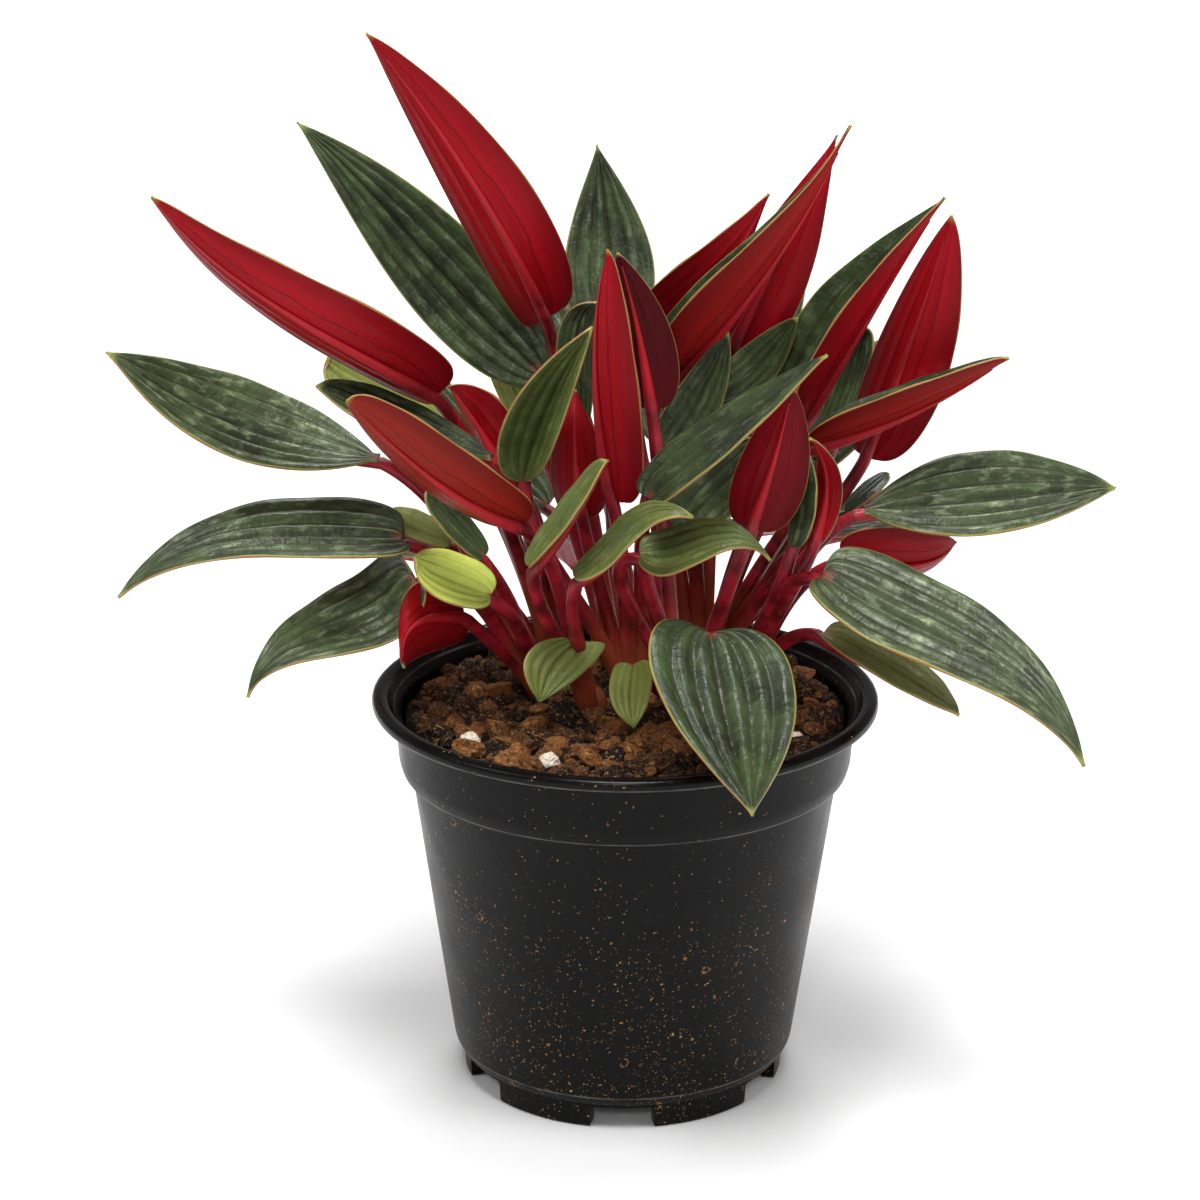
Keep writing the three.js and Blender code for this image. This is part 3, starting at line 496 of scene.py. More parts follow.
pot_plastic, tree, shader, place = new_material("pot_plastic_recycled")
height = add(tree, "ShaderNodeSeparateXYZ", {0: place}).outputs["Z"]
low_down = spread(tree, height, 85 * MM, 5 * MM, 0.12, 1.0)
patches = spread(tree, grain(tree, place, 70, 3), 0.35, 0.65, 0.35, 1.3)
crowd = calculate(tree, "MULTIPLY", low_down, patches)
wobble = add(tree, "ShaderNodeTexNoise", {"Vector": place, "Scale": 1100}).outputs["Color"]
shift = stretched(tree, wobble, *(most * MM for most in WOBBLE))
bent = add(tree, "ShaderNodeVectorMath", {0: place, 1: shift}, operation="ADD").outputs[0]
fine, tint = flecks(tree, bent, crowd, *FINE_FLECKS)
coarse, _ = flecks(tree, bent, crowd, *COARSE_FLECKS)
curl = curls(tree, bent, crowd, *CURLED_FLECKS)
fleck = calculate(tree, "MAXIMUM", calculate(tree, "MAXIMUM", fine, coarse), curl)
black = mix(tree, grain(tree, place, 25, 4), PLASTIC_BLACK, PLASTIC_GREY)
fleck_color = mix(tree, tint, FLECK_ORANGE, FLECK_TAN)
fleck_share = calculate(tree, "MULTIPLY", fleck, spread(tree, tint, 0, 1, 0.45, 0.95))
flecked = mix(tree, fleck_share, black, fleck_color)
# Painted highlight: a thin grey line at the height of each moulded edge, broken up by noise.
off_edge = distance_to(tree, height, [edge_level * MM for edge_level in EDGE_LEVELS])
edge = spread(tree, off_edge, EDGE_WIDTH * MM, 0.2 * EDGE_WIDTH * MM)
highlight_breaks = spread(tree, grain(tree, place, 130, 4), 0.3, 0.6, 0.25, 0.8)
painted_highlight = calculate(tree, "MULTIPLY", edge, highlight_breaks)
tree.links.new(mix(tree, painted_highlight, flecked, EDGE_HIGHLIGHT_GREY), shader.inputs["Base Color"])
worn = spread(tree, grain(tree, place, 60, 5), 0.3, 0.7, 0.32, 0.42)
on_rim = spread(tree, height, (POT_HEIGHT - 2.4) * MM, (POT_HEIGHT - 0.9) * MM, 0, 0.16)
tree.links.new(calculate(tree, "SUBTRACT", worn, on_rim), shader.inputs["Roughness"])
set_shader(shader, Specular_IOR_Level=0.1)
skin = calculate(tree, "ADD", grain(tree, place, 1100, 2), calculate(tree, "MULTIPLY", fleck, 0.6))
bump(tree, shader, skin, 0.045)
print("The plastic has flecks of two sizes, curls and", len(EDGE_LEVELS), "rubbed edges")

# %% Turn the pot
pot_blank = spun("pot_blank", pot_profile, POT_SEGMENTS, pot_plastic)

# %% [markdown]
# ## The pot: its feet and drain holes
#
# Six notches leave six feet, so that water can run out from under the floor, and six round holes
# let it out of the soil. Both repeat round the axis, so one cutter of each kind is drawn, a
# Geometry Nodes tree sets copies of it round the axis, and one Boolean takes the whole ring away.

# %% Sizes of the cutters
FOOT_COUNT = 6
NOTCH_HALF_ANGLE = math.radians(11.1)
NOTCH_HEIGHT = 5.3
NOTCH_CORNER = 0.9
DRAIN_HOLE_RADIUS = 4
DRAIN_HOLE_CIRCLE = 24
DRAIN_HOLE_SEGMENTS = 32
NOTCH_REACH_IN, NOTCH_REACH_OUT = 8, 6
HOLE_CUT_FROM, HOLE_CUT_ABOVE = 2, 3


# %% One notch cutter and one hole cutter
def prism(name, near, far, material):
    """A body between two outlines with the same number of points."""
    count = len(near)
    faces = [(k, (k + 1) % count, count + (k + 1) % count, count + k) for k in range(count)]
    faces += [tuple(reversed(range(count))), tuple(range(count, 2 * count))]
    made = new_object(name, list(near) + list(far), faces, material)
    shape = bmesh.new()
    shape.from_mesh(made.data)
    bmesh.ops.recalc_face_normals(shape, faces=shape.faces)
    shape.to_mesh(made.data)
    shape.free()
    return made


def notch_outline(radius):
    """The notch as seen along a radius, at that distance from the axis, in front of the pot."""
    half = radius * math.tan(NOTCH_HALF_ANGLE)
    quarter = np.linspace(0, math.pi / 2, CORNER_STEPS)
    foot = [(half + NOTCH_CORNER * (1 - math.sin(a)), NOTCH_CORNER * (1 - math.cos(a))) for a in quarter]
    top = [(half - NOTCH_CORNER * (1 - math.cos(a)), NOTCH_HEIGHT - NOTCH_CORNER * (1 - math.sin(a)))
           for a in quarter]
    right = [(half + NOTCH_CORNER, -1.0)] + foot + top
    left = [(-x, z) for x, z in reversed(right)]
    return [(x, -radius, z) for x, z in right + left]


notch_ends = notch_outline(FOOT_RADIUS - NOTCH_REACH_IN), notch_outline(FOOT_RADIUS + NOTCH_REACH_OUT)
notch_cutter = prism("notch_cutter", *notch_ends, pot_plastic)
hole_turns = 2 * np.pi * np.arange(DRAIN_HOLE_SEGMENTS) / DRAIN_HOLE_SEGMENTS
hole_ends = [
    [(DRAIN_HOLE_CIRCLE + DRAIN_HOLE_RADIUS * math.cos(t), DRAIN_HOLE_RADIUS * math.sin(t), z)
     for t in hole_turns]
    for z in (HOLE_CUT_FROM, FLOOR_LEVEL + HOLE_CUT_ABOVE)
]
hole_cutter = prism("hole_cutter", *hole_ends, pot_plastic)

# %% A tree that cuts copies round the axis
cut_round, given, out = new_tree("cut round the axis", Cutter="Object", Count="Int")
cutter = add(cut_round, "GeometryNodeObjectInfo", {"Object": given["Cutter"], "As Instance": True})
spots = add(cut_round, "GeometryNodePoints", {"Count": given["Count"]})
step = calculate(cut_round, "DIVIDE", 2 * math.pi, given["Count"])
turn = calculate(cut_round, "MULTIPLY", add(cut_round, "GeometryNodeInputIndex").outputs[0], step)
turned = add(cut_round, "ShaderNodeCombineXYZ", {"Z": turn})
copies = add(cut_round, "GeometryNodeInstanceOnPoints", {
    "Points": spots.outputs[0], "Instance": cutter.outputs["Geometry"], "Rotation": turned.outputs[0]})
real = add(cut_round, "GeometryNodeRealizeInstances", {0: copies.outputs[0]})
cut = add(cut_round, "GeometryNodeMeshBoolean", {"Mesh 1": given["Geometry"], "Mesh 2": real.outputs[0]},
          operation="DIFFERENCE", solver="EXACT")
painted = add(cut_round, "GeometryNodeSetMaterial", {0: cut.outputs[0], "Material": pot_plastic})
cut_round.links.new(painted.outputs[0], out.inputs[0])

for cutting_tool in (notch_cutter, hole_cutter):
    modifier = pot_blank.modifiers.new(cutting_tool.name, "NODES")
    modifier.node_group = cut_round
    set_inputs(modifier, Cutter=cutting_tool, Count=FOOT_COUNT)

# %% The finished pot
pot = to_plain_mesh(pot_blank, "pot.moulded")
smooth_shading(pot.data, POT_CREASE_ANGLE)
bpy.data.objects.remove(notch_cutter)
bpy.data.objects.remove(hole_cutter)
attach(pot, "root")
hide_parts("pot")

# %% [markdown]
# ## The soil: its bed
#
# Growers pot this plant in a loose mix of composted bark, with peat between the pieces. Under
# the loose pieces lies a bed that fills the pot. It is a closed body, so it looks right through
# the gaps between the pieces, and its top follows the same gentle relief as the solid model,
# with finer grain added on top.

# %% Sizes of the soil, and where stems and white grains stand in it
SOIL_LEVEL = 90
GAP = 0.3
RELIEF = 1.1
CALM_FROM, CALM_TO = 6, 12
GRIT_HEIGHT = 0.35
GRIT_SCALE = 0.55
STEM_SPOTS = {
    "leafy_stem_left": (-19, 10),
    "leafy_stem_left_back": (-15, 24),
    "leafy_stem_front": (-8, -1),
    "leafy_stem_middle": (2, 10),
    "leafy_stem_middle_back": (-1, 26),
    "leafy_stem_right_front": (14, 0),
    "leafy_stem_right": (25, 10),
    "leafy_stem_right_back": (17, 24),
    "leafy_stem_back": (6, 40),
}
PERLITE = {
    "perlite_grain_left": (-35.7, -23.5, 2.6),
    "perlite_grain_middle": (-17.2, -35.8, 2.6),
    "perlite_grain_right": (39.4, -20, 2.2),
}
SOIL_EDGE = COLLAR_RADIUS_FOOT - WALL - GAP


def smooth_step(value, low, high):
    """0 up to low, 1 from high on, and a soft rise between them."""
    t = np.clip((value - low) / (high - low), 0, 1)
    return t * t * (3 - 2 * t)


def distance_to_stem(x, y):
    """How far a place on the soil is from the nearest stem, in mm."""
    return min(math.hypot(x - sx, y - sy) for sx, sy in STEM_SPOTS.values())


def soil_height(x, y):
    """The soil's surface: rough, and even where the stems come out of it."""
    calm = smooth_step(distance_to_stem(x, y), CALM_FROM, CALM_TO)
    coarse = math.sin(0.61 * x + 0.35 * y) + math.sin(0.27 * x - 0.72 * y + 2)
    fine = math.sin(0.95 * x + 0.5 * y + 1) * math.cos(0.4 * x - 0.9 * y)
    return SOIL_LEVEL + RELIEF * calm * (0.45 * coarse + 0.6 * fine)


# %% Peat between the bark
PEAT_DARK = color("080403")
PEAT_BROWN = color("1f120a")

peat, tree, shader, place = new_material("peat")
crumbly = grain(tree, place, 420, 6, 0.7)
peat_tone = mix(tree, spread(tree, crumbly, 0.35, 0.7), PEAT_DARK, PEAT_BROWN)
tree.links.new(peat_tone, shader.inputs["Base Color"])
set_shader(shader, Roughness=0.95, Specular_IOR_Level=0.15)
bump(tree, shader, crumbly, 0.9)

# %% The bed's rings of points, from the bottom up the wall and in over the top
BED_SEGMENTS = 160
BED_RING_STEP = 0.9
bed_profile = [
    (0, FLOOR_LEVEL + GAP),
    (BODY_RADIUS_FOOT - WALL - 1 - GAP, FLOOR_LEVEL + GAP),
    (BODY_RADIUS_FOOT - WALL - GAP, BODY_FOOT + 2.6 + GAP),
    (BODY_RADIUS_TOP - WALL - GAP, COLLAR_FOOT - 1),
    (SOIL_EDGE, COLLAR_FOOT + 4 + GAP),
]
bed_profile += [(r, SOIL_LEVEL) for r in np.arange(SOIL_EDGE, BED_RING_STEP, -BED_RING_STEP)]
bed_profile += [(0, SOIL_LEVEL)]
soil_bed = spun("soil.bed", np.array(bed_profile, dtype=float), BED_SEGMENTS, peat)
for vertex in soil_bed.data.vertices:
    x, y, z = vertex.co / MM
    if z > SOIL_LEVEL - 1:
        grit = GRIT_HEIGHT * noise.fractal(Vector((x, y, 0)) * GRIT_SCALE, 0.8, 2.1, 4)
        vertex.co.z = (soil_height(x, y) + grit) * MM
smooth_shading(soil_bed.data)
print("The soil's top is at", round(max(v.co.z for v in soil_bed.data.vertices) / MM, 1), "mm")

# %% [markdown]
# ## The soil: its bark
#
# Composted bark breaks into blocky, layered chips from a few millimetres up to about a
# centimetre. Modelling each by hand would take days, so a few are made: a ball is cut flat by
# planes at random, as a chip is by its breaks, squashed along its layers and roughened. Then
# Geometry Nodes strew them over the bed in three grades. Each chip keeps a value of its own, so
# that the material can give every chip its own tone, and its place within the chip, so that the
# fibres turn with it.

# %% Make one chip
BREAKS = 11
BREAK_DEPTHS = (0.55, 0.9)
LAYER_HEIGHT = 0.07
ROUGH_HEIGHT = 0.19
CHIP_FORM = (1.2, 0.95, 0.7)


def chip(name, seed, subdivisions, material):
    """A chip of bark about 1 mm in radius."""
    random = np.random.default_rng(seed)
    shape = bmesh.new()
    bmesh.ops.create_icosphere(shape, subdivisions=subdivisions, radius=1)
    breaks = random.normal(size=(BREAKS, 3))
    breaks /= np.linalg.norm(breaks, axis=1)[:, None]
    depths = random.uniform(*BREAK_DEPTHS, size=BREAKS)
    for vertex in shape.verts:
        spot = np.array(vertex.co)
        for direction, depth in zip(breaks, depths):
            spot = spot - direction * max(spot @ direction - depth, 0)
        layer = LAYER_HEIGHT * math.sin(9 * spot[2] + 3 * seed)
        rough = ROUGH_HEIGHT * noise.noise(Vector(spot * 2.6) + Vector((7.3 * seed, 0, 0)))
        vertex.co = Vector(spot * (1 + layer + rough) * CHIP_FORM)
    mesh = bpy.data.meshes.new(name)
    shape.to_mesh(mesh)
    shape.free()
    mesh.materials.append(material)
    keep_values(mesh, "fibre", [tuple(v.co) for v in mesh.vertices])
    mesh.transform(Matrix.Scale(MM, 4))
    return bpy.data.objects.new(name, mesh)


# %% The bark's finish
BARK_DARK = color("120904")
BARK_RED = color("4d2e18")
BARK_ORANGE = color("855329")
BARK_TAN = color("d8a668")

bark, tree, shader, place = new_material("bark")
own = kept(tree, "chip_tone")
fibre = kept(tree, "fibre", "Vector")
apart = add(tree, "ShaderNodeCombineXYZ", {"X": calculate(tree, "MULTIPLY", own, 40)}).outputs[0]
shifted = add(tree, "ShaderNodeVectorMath", {0: fibre, 1: apart}, operation="ADD").outputs[0]
streaks = grain(tree, stretched(tree, shifted, 1.2, 3.0, 7.0), 1.6, 5, 0.65, 0.4)
mottle = grain(tree, place, 620, 5, 0.7)
body = mix(tree, spread(tree, own, 0.1, 0.5), BARK_DARK, BARK_RED)
body = mix(tree, spread(tree, own, 0.35, 0.85), body, BARK_ORANGE)
body = mix(tree, spread(tree, streaks, 0.52, 0.72), body, BARK_TAN)
body = mix(tree, spread(tree, mottle, 0.5, 0.36, 0, 0.85), body, BARK_DARK)
tree.links.new(body, shader.inputs["Base Color"])
set_shader(shader, Roughness=0.85, Specular_IOR_Level=0.25)
bump(tree, shader, calculate(tree, "ADD", streaks, mottle), 1.1)

# %% A tree that strews chips over a surface
CHIP_SHAPES = 6
CHIP_TILT, CHIP_TURN = 0.7, 6.283
CHIP_CREASE_ANGLE = 24
MOST_CHIPS = 4e6
TOP_DEPTH = 4

strew, given, out = new_tree("strew", Shapes="Collection", Spacing="Float", Reach="Float",
                             Smallest="Float", Largest="Float", Lift="Float", Seed="Int")
where = add(strew, "GeometryNodeInputPosition").outputs[0]
parts = add(strew, "ShaderNodeSeparateXYZ", {0: where})
flat = add(strew, "ShaderNodeCombineXYZ", {"X": parts.outputs["X"], "Y": parts.outputs["Y"]})
from_axis = add(strew, "ShaderNodeVectorMath", {0: flat.outputs[0]}, operation="LENGTH").outputs["Value"]
inside = calculate(strew, "LESS_THAN", from_axis, given["Reach"])
on_top = calculate(strew, "GREATER_THAN", parts.outputs["Z"], (SOIL_LEVEL - TOP_DEPTH) * MM)
room = add(strew, "GeometryNodeInputNamedAttribute", {"Name": "room"}, data_type="FLOAT")
chance = calculate(strew, "MULTIPLY", calculate(strew, "MULTIPLY", inside, on_top), room.outputs[0])
points = add(strew, "GeometryNodeDistributePointsOnFaces", {
    "Mesh": given["Geometry"], "Distance Min": given["Spacing"], "Density Max": MOST_CHIPS,
    "Density Factor": chance, "Seed": given["Seed"]}, distribute_method="POISSON")
shapes = add(strew, "GeometryNodeCollectionInfo", {
    "Collection": given["Shapes"], "Separate Children": True, "Reset Children": True})
tilt = add(strew, "FunctionNodeRandomValue", {
    "Min": (-CHIP_TILT, -CHIP_TILT, 0), "Max": (CHIP_TILT, CHIP_TILT, CHIP_TURN),
    "Seed": given["Seed"]}, data_type="FLOAT_VECTOR")
size = add(strew, "FunctionNodeRandomValue", {2: given["Smallest"], 3: given["Largest"], "Seed": 5},
           data_type="FLOAT")
which = add(strew, "FunctionNodeRandomValue", {4: 0, 5: CHIP_SHAPES - 1, "Seed": 9}, data_type="INT")
copies = add(strew, "GeometryNodeInstanceOnPoints", {
    "Points": points.outputs["Points"], "Instance": shapes.outputs[0], "Pick Instance": True,
    "Instance Index": which.outputs[2], "Rotation": tilt.outputs[0], "Scale": size.outputs[1]})
tone = add(strew, "FunctionNodeRandomValue", {2: 0.0, 3: 1.0, "Seed": 21}, data_type="FLOAT")
toned = add(strew, "GeometryNodeStoreNamedAttribute", {
    "Geometry": copies.outputs[0], "Name": "chip_tone", "Value": tone.outputs[1]},
    data_type="FLOAT", domain="INSTANCE")
real = add(strew, "GeometryNodeRealizeInstances", {0: toned.outputs[0]})
up = add(strew, "ShaderNodeCombineXYZ", {"Z": given["Lift"]})
lifted = add(strew, "GeometryNodeSetPosition", {"Geometry": real.outputs[0], "Offset": up.outputs[0]})
painted = add(strew, "GeometryNodeSetMaterial", {0: lifted.outputs[0], "Material": bark})
strew.links.new(painted.outputs[0], out.inputs[0])

# %% Where a chip may lie: clear of the stems and of the white grains
STEM_ROOM = (4.5, 6.5)
GRAIN_ROOM = (1.0, 2.2)


def room_for_chip(x, y):
    """1 where a chip may lie, and 0 beside a stem or a white grain."""
    to_grain = min(math.hypot(x - gx, y - gy) - radius for gx, gy, radius in PERLITE.values())
    by_stems = smooth_step(distance_to_stem(x, y), *STEM_ROOM)
    return float(by_stems * smooth_step(to_grain, *GRAIN_ROOM))


keep_values(soil_bed.data, "room", [room_for_chip(*(v.co / MM)[:2]) for v in soil_bed.data.vertices])

# %% Strew three grades of bark
GRADES = {
    # name: (subdivisions, spacing, reach, smallest radius, largest radius, lift, seed), in mm
    "soil.bark_coarse": (3, 5.6, 48.0, 2.3, 4.2, 1.4, 3),
    "soil.bark_medium": (2, 3.4, 50.0, 1.1, 2.1, 0.5, 4),
    "soil.bark_fine": (1, 2.2, 51.2, 0.45, 1.1, 0.2, 8),
}

soil_pieces = [soil_bed]
for name, (subdivisions, spacing, reach, smallest, largest, lift, seed) in GRADES.items():
    chips = bpy.data.collections.new(name + "_shapes")
    for k in range(CHIP_SHAPES):
        chips.objects.link(chip(f"{name}_shape_{k}", k + 1, subdivisions, bark))
    carrier = bpy.data.objects.new(name + "_carrier", soil_bed.data.copy())
    bpy.context.collection.objects.link(carrier)
    modifier = carrier.modifiers.new("strew", "NODES")
    modifier.node_group = strew
    set_inputs(modifier, Shapes=chips, Spacing=spacing * MM, Reach=reach * MM, Smallest=float(smallest),
               Largest=float(largest), Lift=lift * MM, Seed=seed)
    strewn = to_plain_mesh(carrier, name)
    smooth_shading(strewn.data, CHIP_CREASE_ANGLE)
    soil_pieces.append(strewn)
    for shape in list(chips.objects):
        bpy.data.objects.remove(shape)
    bpy.data.collections.remove(chips)

for piece in soil_pieces:
    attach(piece, "root")
    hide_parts("soil")

# %% [markdown]
# ## The white grains
#
# Perlite is volcanic glass puffed up by heat: a chalky white lump, round on the whole, with dents
# and pits where bubbles burst. A fine ball pushed in and out by two sizes of noise gives the lump,
# and the material adds the pits and a little dust from the soil.

# %% The perlite's finish and its three grains
LUMP_DEPTH, LUMP_SCALE = 0.13, 1.7
DENT_DEPTH, DENT_SCALE = 0.09, 5.1
GRAIN_STANDS = 0.3
GRAIN_FILL = 0.95

perlite, tree, shader, place = new_material("perlite_chalky")
pits = add(tree, "ShaderNodeTexVoronoi", {"Vector": place, "Scale": 1800}).outputs["Distance"]
dust = spread(tree, grain(tree, place, 500, 4), 0.45, 0.75)
chalk = mix(tree, dust, color("dcd2c2"), color("b8a68c"))
chalk = mix(tree, spread(tree, pits, 0.22, 0.05, 0, 0.5), chalk, color("8d7a63"))
tree.links.new(chalk, shader.inputs["Base Color"])
set_shader(shader, Roughness=0.95, Specular_IOR_Level=0.2)
bump(tree, shader, pits, 0.25)

for name, (x, y, radius) in PERLITE.items():
    shape = bmesh.new()
    bmesh.ops.create_icosphere(shape, subdivisions=5, radius=1)
    middle = Vector((x, y, SOIL_LEVEL + GRAIN_STANDS * radius))
    for vertex in shape.verts:
        lump = LUMP_DEPTH * noise.noise(vertex.co * LUMP_SCALE + Vector((x, y, 0)))
        dent = DENT_DEPTH * noise.noise(vertex.co * DENT_SCALE + Vector((y, x, 0)))
        vertex.co = (middle + vertex.co * radius * (GRAIN_FILL + lump + dent)) * MM
    mesh = bpy.data.meshes.new(name + ".lump")
    shape.to_mesh(mesh)
    shape.free()
    mesh.materials.append(perlite)
    smooth_shading(mesh)
    piece = bpy.data.objects.new(name + ".lump", mesh)
    bpy.context.collection.objects.link(piece)
    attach(piece, "root")
    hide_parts(name)
print(len(PERLITE), "white grains")

# %% [markdown]
# ## A leaf's shape
#
# Each blade is a lance-shaped, quilted cup. Its midrib is a curve from base to tip. Its margins
# stand at a known place where the blade is widest, and in between a formula gives the half width:
# a power of the distance from the base, for the round shoulder, times a power of the distance
# from the tip, for the long point. Across, the blade is a rounded trough, and between the sunken
# veins its flesh swells into long ridges. A sculpted leaf would look as good once, but there are
# 58 of them, each different, and a rule lets each keep its own few measured points.

# %% The blade's formulas
BASE_ROUNDNESS = 0.45
TIP_TAPER = 0.95
LATE = 0.75
FOLD = 0.16
STALK_RADIUS = 1.75
NECK_WIDTH = 1.6
TIP_WIDTH = 0.012


def form_of(leaf):
    """How round its base is, how it tapers to its tip, and how far along it is widest."""
    roundness, taper = leaf.get("roundness", BASE_ROUNDNESS), leaf.get("taper", TIP_TAPER)
    return roundness, taper, roundness / (roundness + taper)


def outline(along, leaf):
    """Half the blade's width, from 0 at the base through 1 at the widest place to 0 at the tip."""
    roundness, taper, widest = form_of(leaf)
    most = widest ** roundness * (1 - widest) ** taper
    return along ** roundness * (1 - along) ** taper / most


def bezier(points, t):
    """Points of a cubic curve, at the shares t of the way along it."""
    a, b, c, d = points
    t = np.asarray(t)[..., None]
    return (1 - t) ** 3 * a + 3 * (1 - t) ** 2 * t * b + 3 * (1 - t) * t * t * c + t ** 3 * d


def unit(vector):
    """The same direction, 1 long."""
    return vector / np.linalg.norm(vector)


def through_points(base, rib, late, tip, widest):
    """The cubic curve from base to tip that passes the rib at the widest place, and one more."""
    if late is None:
        rest = 1 - widest
        bend = (rib - rest * rest * base - widest * widest * tip) / (2 * widest * rest)
        late = (1 - LATE) ** 2 * base + 2 * LATE * (1 - LATE) * bend + LATE * LATE * tip
    first = rib - (1 - widest) ** 3 * base - widest ** 3 * tip
    second = late - (1 - LATE) ** 3 * base - LATE ** 3 * tip
    shares = np.array([[3 * (1 - t) ** 2 * t, 3 * (1 - t) * t * t] for t in (widest, LATE)])
    low, high = np.linalg.solve(shares, np.array([first, second]))
    return base, low, high, tip


# %% What fixes a blade: its midrib, and its two margins where it is widest
FACINGS = {"top": -AHEAD, "under": AHEAD, "sky": SKY}


def blade_frame(leaf):
    """The midrib, the way the blade faces, and its margins as seen from the midrib, in mm."""
    left, right = leaf["edges"]
    chord = leaf["tip"] - leaf["base"]
    facing = unit(np.cross(right - left, chord))
    if facing @ FACINGS[leaf["shows"]] < 0:
        left, right, facing = right, left, -facing
    width = np.linalg.norm(right - left)
    rib = leaf.get("rib")
    if rib is None:
        rib = (left + right) / 2 - facing * FOLD * width
    midrib = through_points(leaf["base"], rib, leaf.get("late"), leaf["tip"], form_of(leaf)[2])
    return {
        "midrib": midrib,
        "facing": facing,
        "length": np.linalg.norm(chord),
        "to_left": left - rib,
        "to_right": right - rib,
        "width": width,
        "start": unit(midrib[1] - midrib[0]),
        "neck": NECK_WIDTH * STALK_RADIUS / width,
    }


# %% [markdown]
# ## A leaf's relief
#
# The veins of this plant are sunk into the upper side: one down the middle and two on each side,
# which leave the base together and run with the margin to the tip. Between them the flesh swells
# into rounded ridges with small cross puckers, like quilting. The height across one half is a
# row of half waves, one between each two veins, so the veins stay sharp creases and the ridges
# stay round. The puckers are waves that other waves of uneven length bend, so that they never line
# up. The underside is smoother: it follows only part of the relief.

# %% Heights across the blade, in mm
VEINS = np.array([0.0, 0.36, 0.68, 1.0])
RIDGE_HEIGHTS = np.array([1.0, 0.85, 0.5])
RIDGE_SHARE = 0.15
UNDER_SHARE = 0.22
PUCKER_HEIGHT = 0.08
PUCKER_LENGTH = 4.8
PUCKER_SLANT = 1.1
PUCKER_FULL_FROM = 6
SECOND_PUCKERS = 0.63
RIDGE_ROUNDNESS = 0.9
RIPPLE_SHARE = 0.018
RIPPLE_COUNT = 3.3
SEED_STEP = 1.7


def ridges(reach):
    """The ridge height, from 0 in a vein to 1, at a share of the way from midrib to margin."""
    height = np.zeros_like(reach)
    for k, most in enumerate(RIDGE_HEIGHTS):
        phase = np.clip((reach - VEINS[k]) / (VEINS[k + 1] - VEINS[k]), 0, 1)
        height = np.maximum(height, most * np.sin(np.pi * phase) ** RIDGE_ROUNDNESS)
    return height


def relief(leaf, along, side, half_width, length):
    """How far the blade's surface stands out at each place of it, in mm."""
    reach = np.abs(side)
    swell = ridges(reach)
    phase = leaf["seed"] * SEED_STEP
    wave = 2 * np.pi * (along * length - PUCKER_SLANT * reach * half_width) / PUCKER_LENGTH
    bend = 2.2 * np.sin(5 * side + phase) + 1.3 * np.sin(13 * side + 2.3 * phase)
    patch = 0.5 + 0.5 * np.sin(9 * along + 4 * side + phase)
    pucker = patch * (np.sin(wave + bend) + 0.6 * np.sin(SECOND_PUCKERS * wave - bend + phase))
    turn_of_edge = np.sin(2 * np.pi * along * RIPPLE_COUNT + phase + (side > 0))
    rippled = RIPPLE_SHARE * half_width * reach ** 4 * turn_of_edge
    ease = np.clip(half_width / PUCKER_FULL_FROM, 0, 1)
    return RIDGE_SHARE * half_width * swell + PUCKER_HEIGHT * ease * swell * pucker + rippled


# %% Bend the very tip, as the real ones hook
HOOK_START = 0.9
HOOK_DEPTH = 0.5


def hooked(frame, along):
    """How far the midrib leaves its curve near the tip."""
    share = np.clip((along - HOOK_START) / (1 - HOOK_START), 0, 1) ** 2
    return -frame["facing"] * HOOK_DEPTH * share[..., None]


# %% The blade's middle surface
LOBE = 0.06
TROUGH_ROUNDNESS = 1.35


def blade_surface(leaf, frame, along, side, relief_share=1.0):
    """Points of the blade, for grids of along from base to tip and side from -1 to 1."""
    reach = np.abs(side)
    least = np.where(along < 0.5, frame["neck"], TIP_WIDTH)
    half = np.maximum(outline(along, leaf), least)
    swept = along - leaf.get("lobe", LOBE) * (1 - along) ** 3 * reach * half
    points = bezier(frame["midrib"], np.maximum(swept, 0))
    points = points + frame["start"] * (np.minimum(swept, 0) * frame["length"])[..., None]
    facing = frame["facing"]
    for chosen, margin in ((side < 0, frame["to_left"]), (side >= 0, frame["to_right"])):
        height = margin @ facing
        flat = margin - height * facing
        share = np.where(chosen, half, 0)
        lift = share * reach ** TROUGH_ROUNDNESS * height
        points = points + (share * reach)[..., None] * flat + lift[..., None] * facing
    half_width = half * frame["width"] / 2
    heights = relief_share * relief(leaf, along, side, half_width, frame["length"])
    return points + heights[..., None] * facing + hooked(frame, along)


# %% [markdown]
# ## A leaf's mesh
#
# A blade is a closed body: an upper and a lower grid, joined round the margin. Rows lie closer
# together near the base, where the outline turns fastest. The points keep where they are on the
# blade, so that the finish can follow the veins and not the room: how far along, how far to the
# side, and both in metres for the fine grain. They keep the leaf's own age and tint as well.

# %% Build one blade
BLADE_THICKNESS = 0.8
ROWS, COLUMNS = 96, 38
SMALL_ROWS, SMALL_COLUMNS = 48, 28
ROW_CROWDING = 1.35
COLUMN_CROWDING = 0.35
MARGIN_THINNING = 0.55
NO_LENGTH = 1e-9


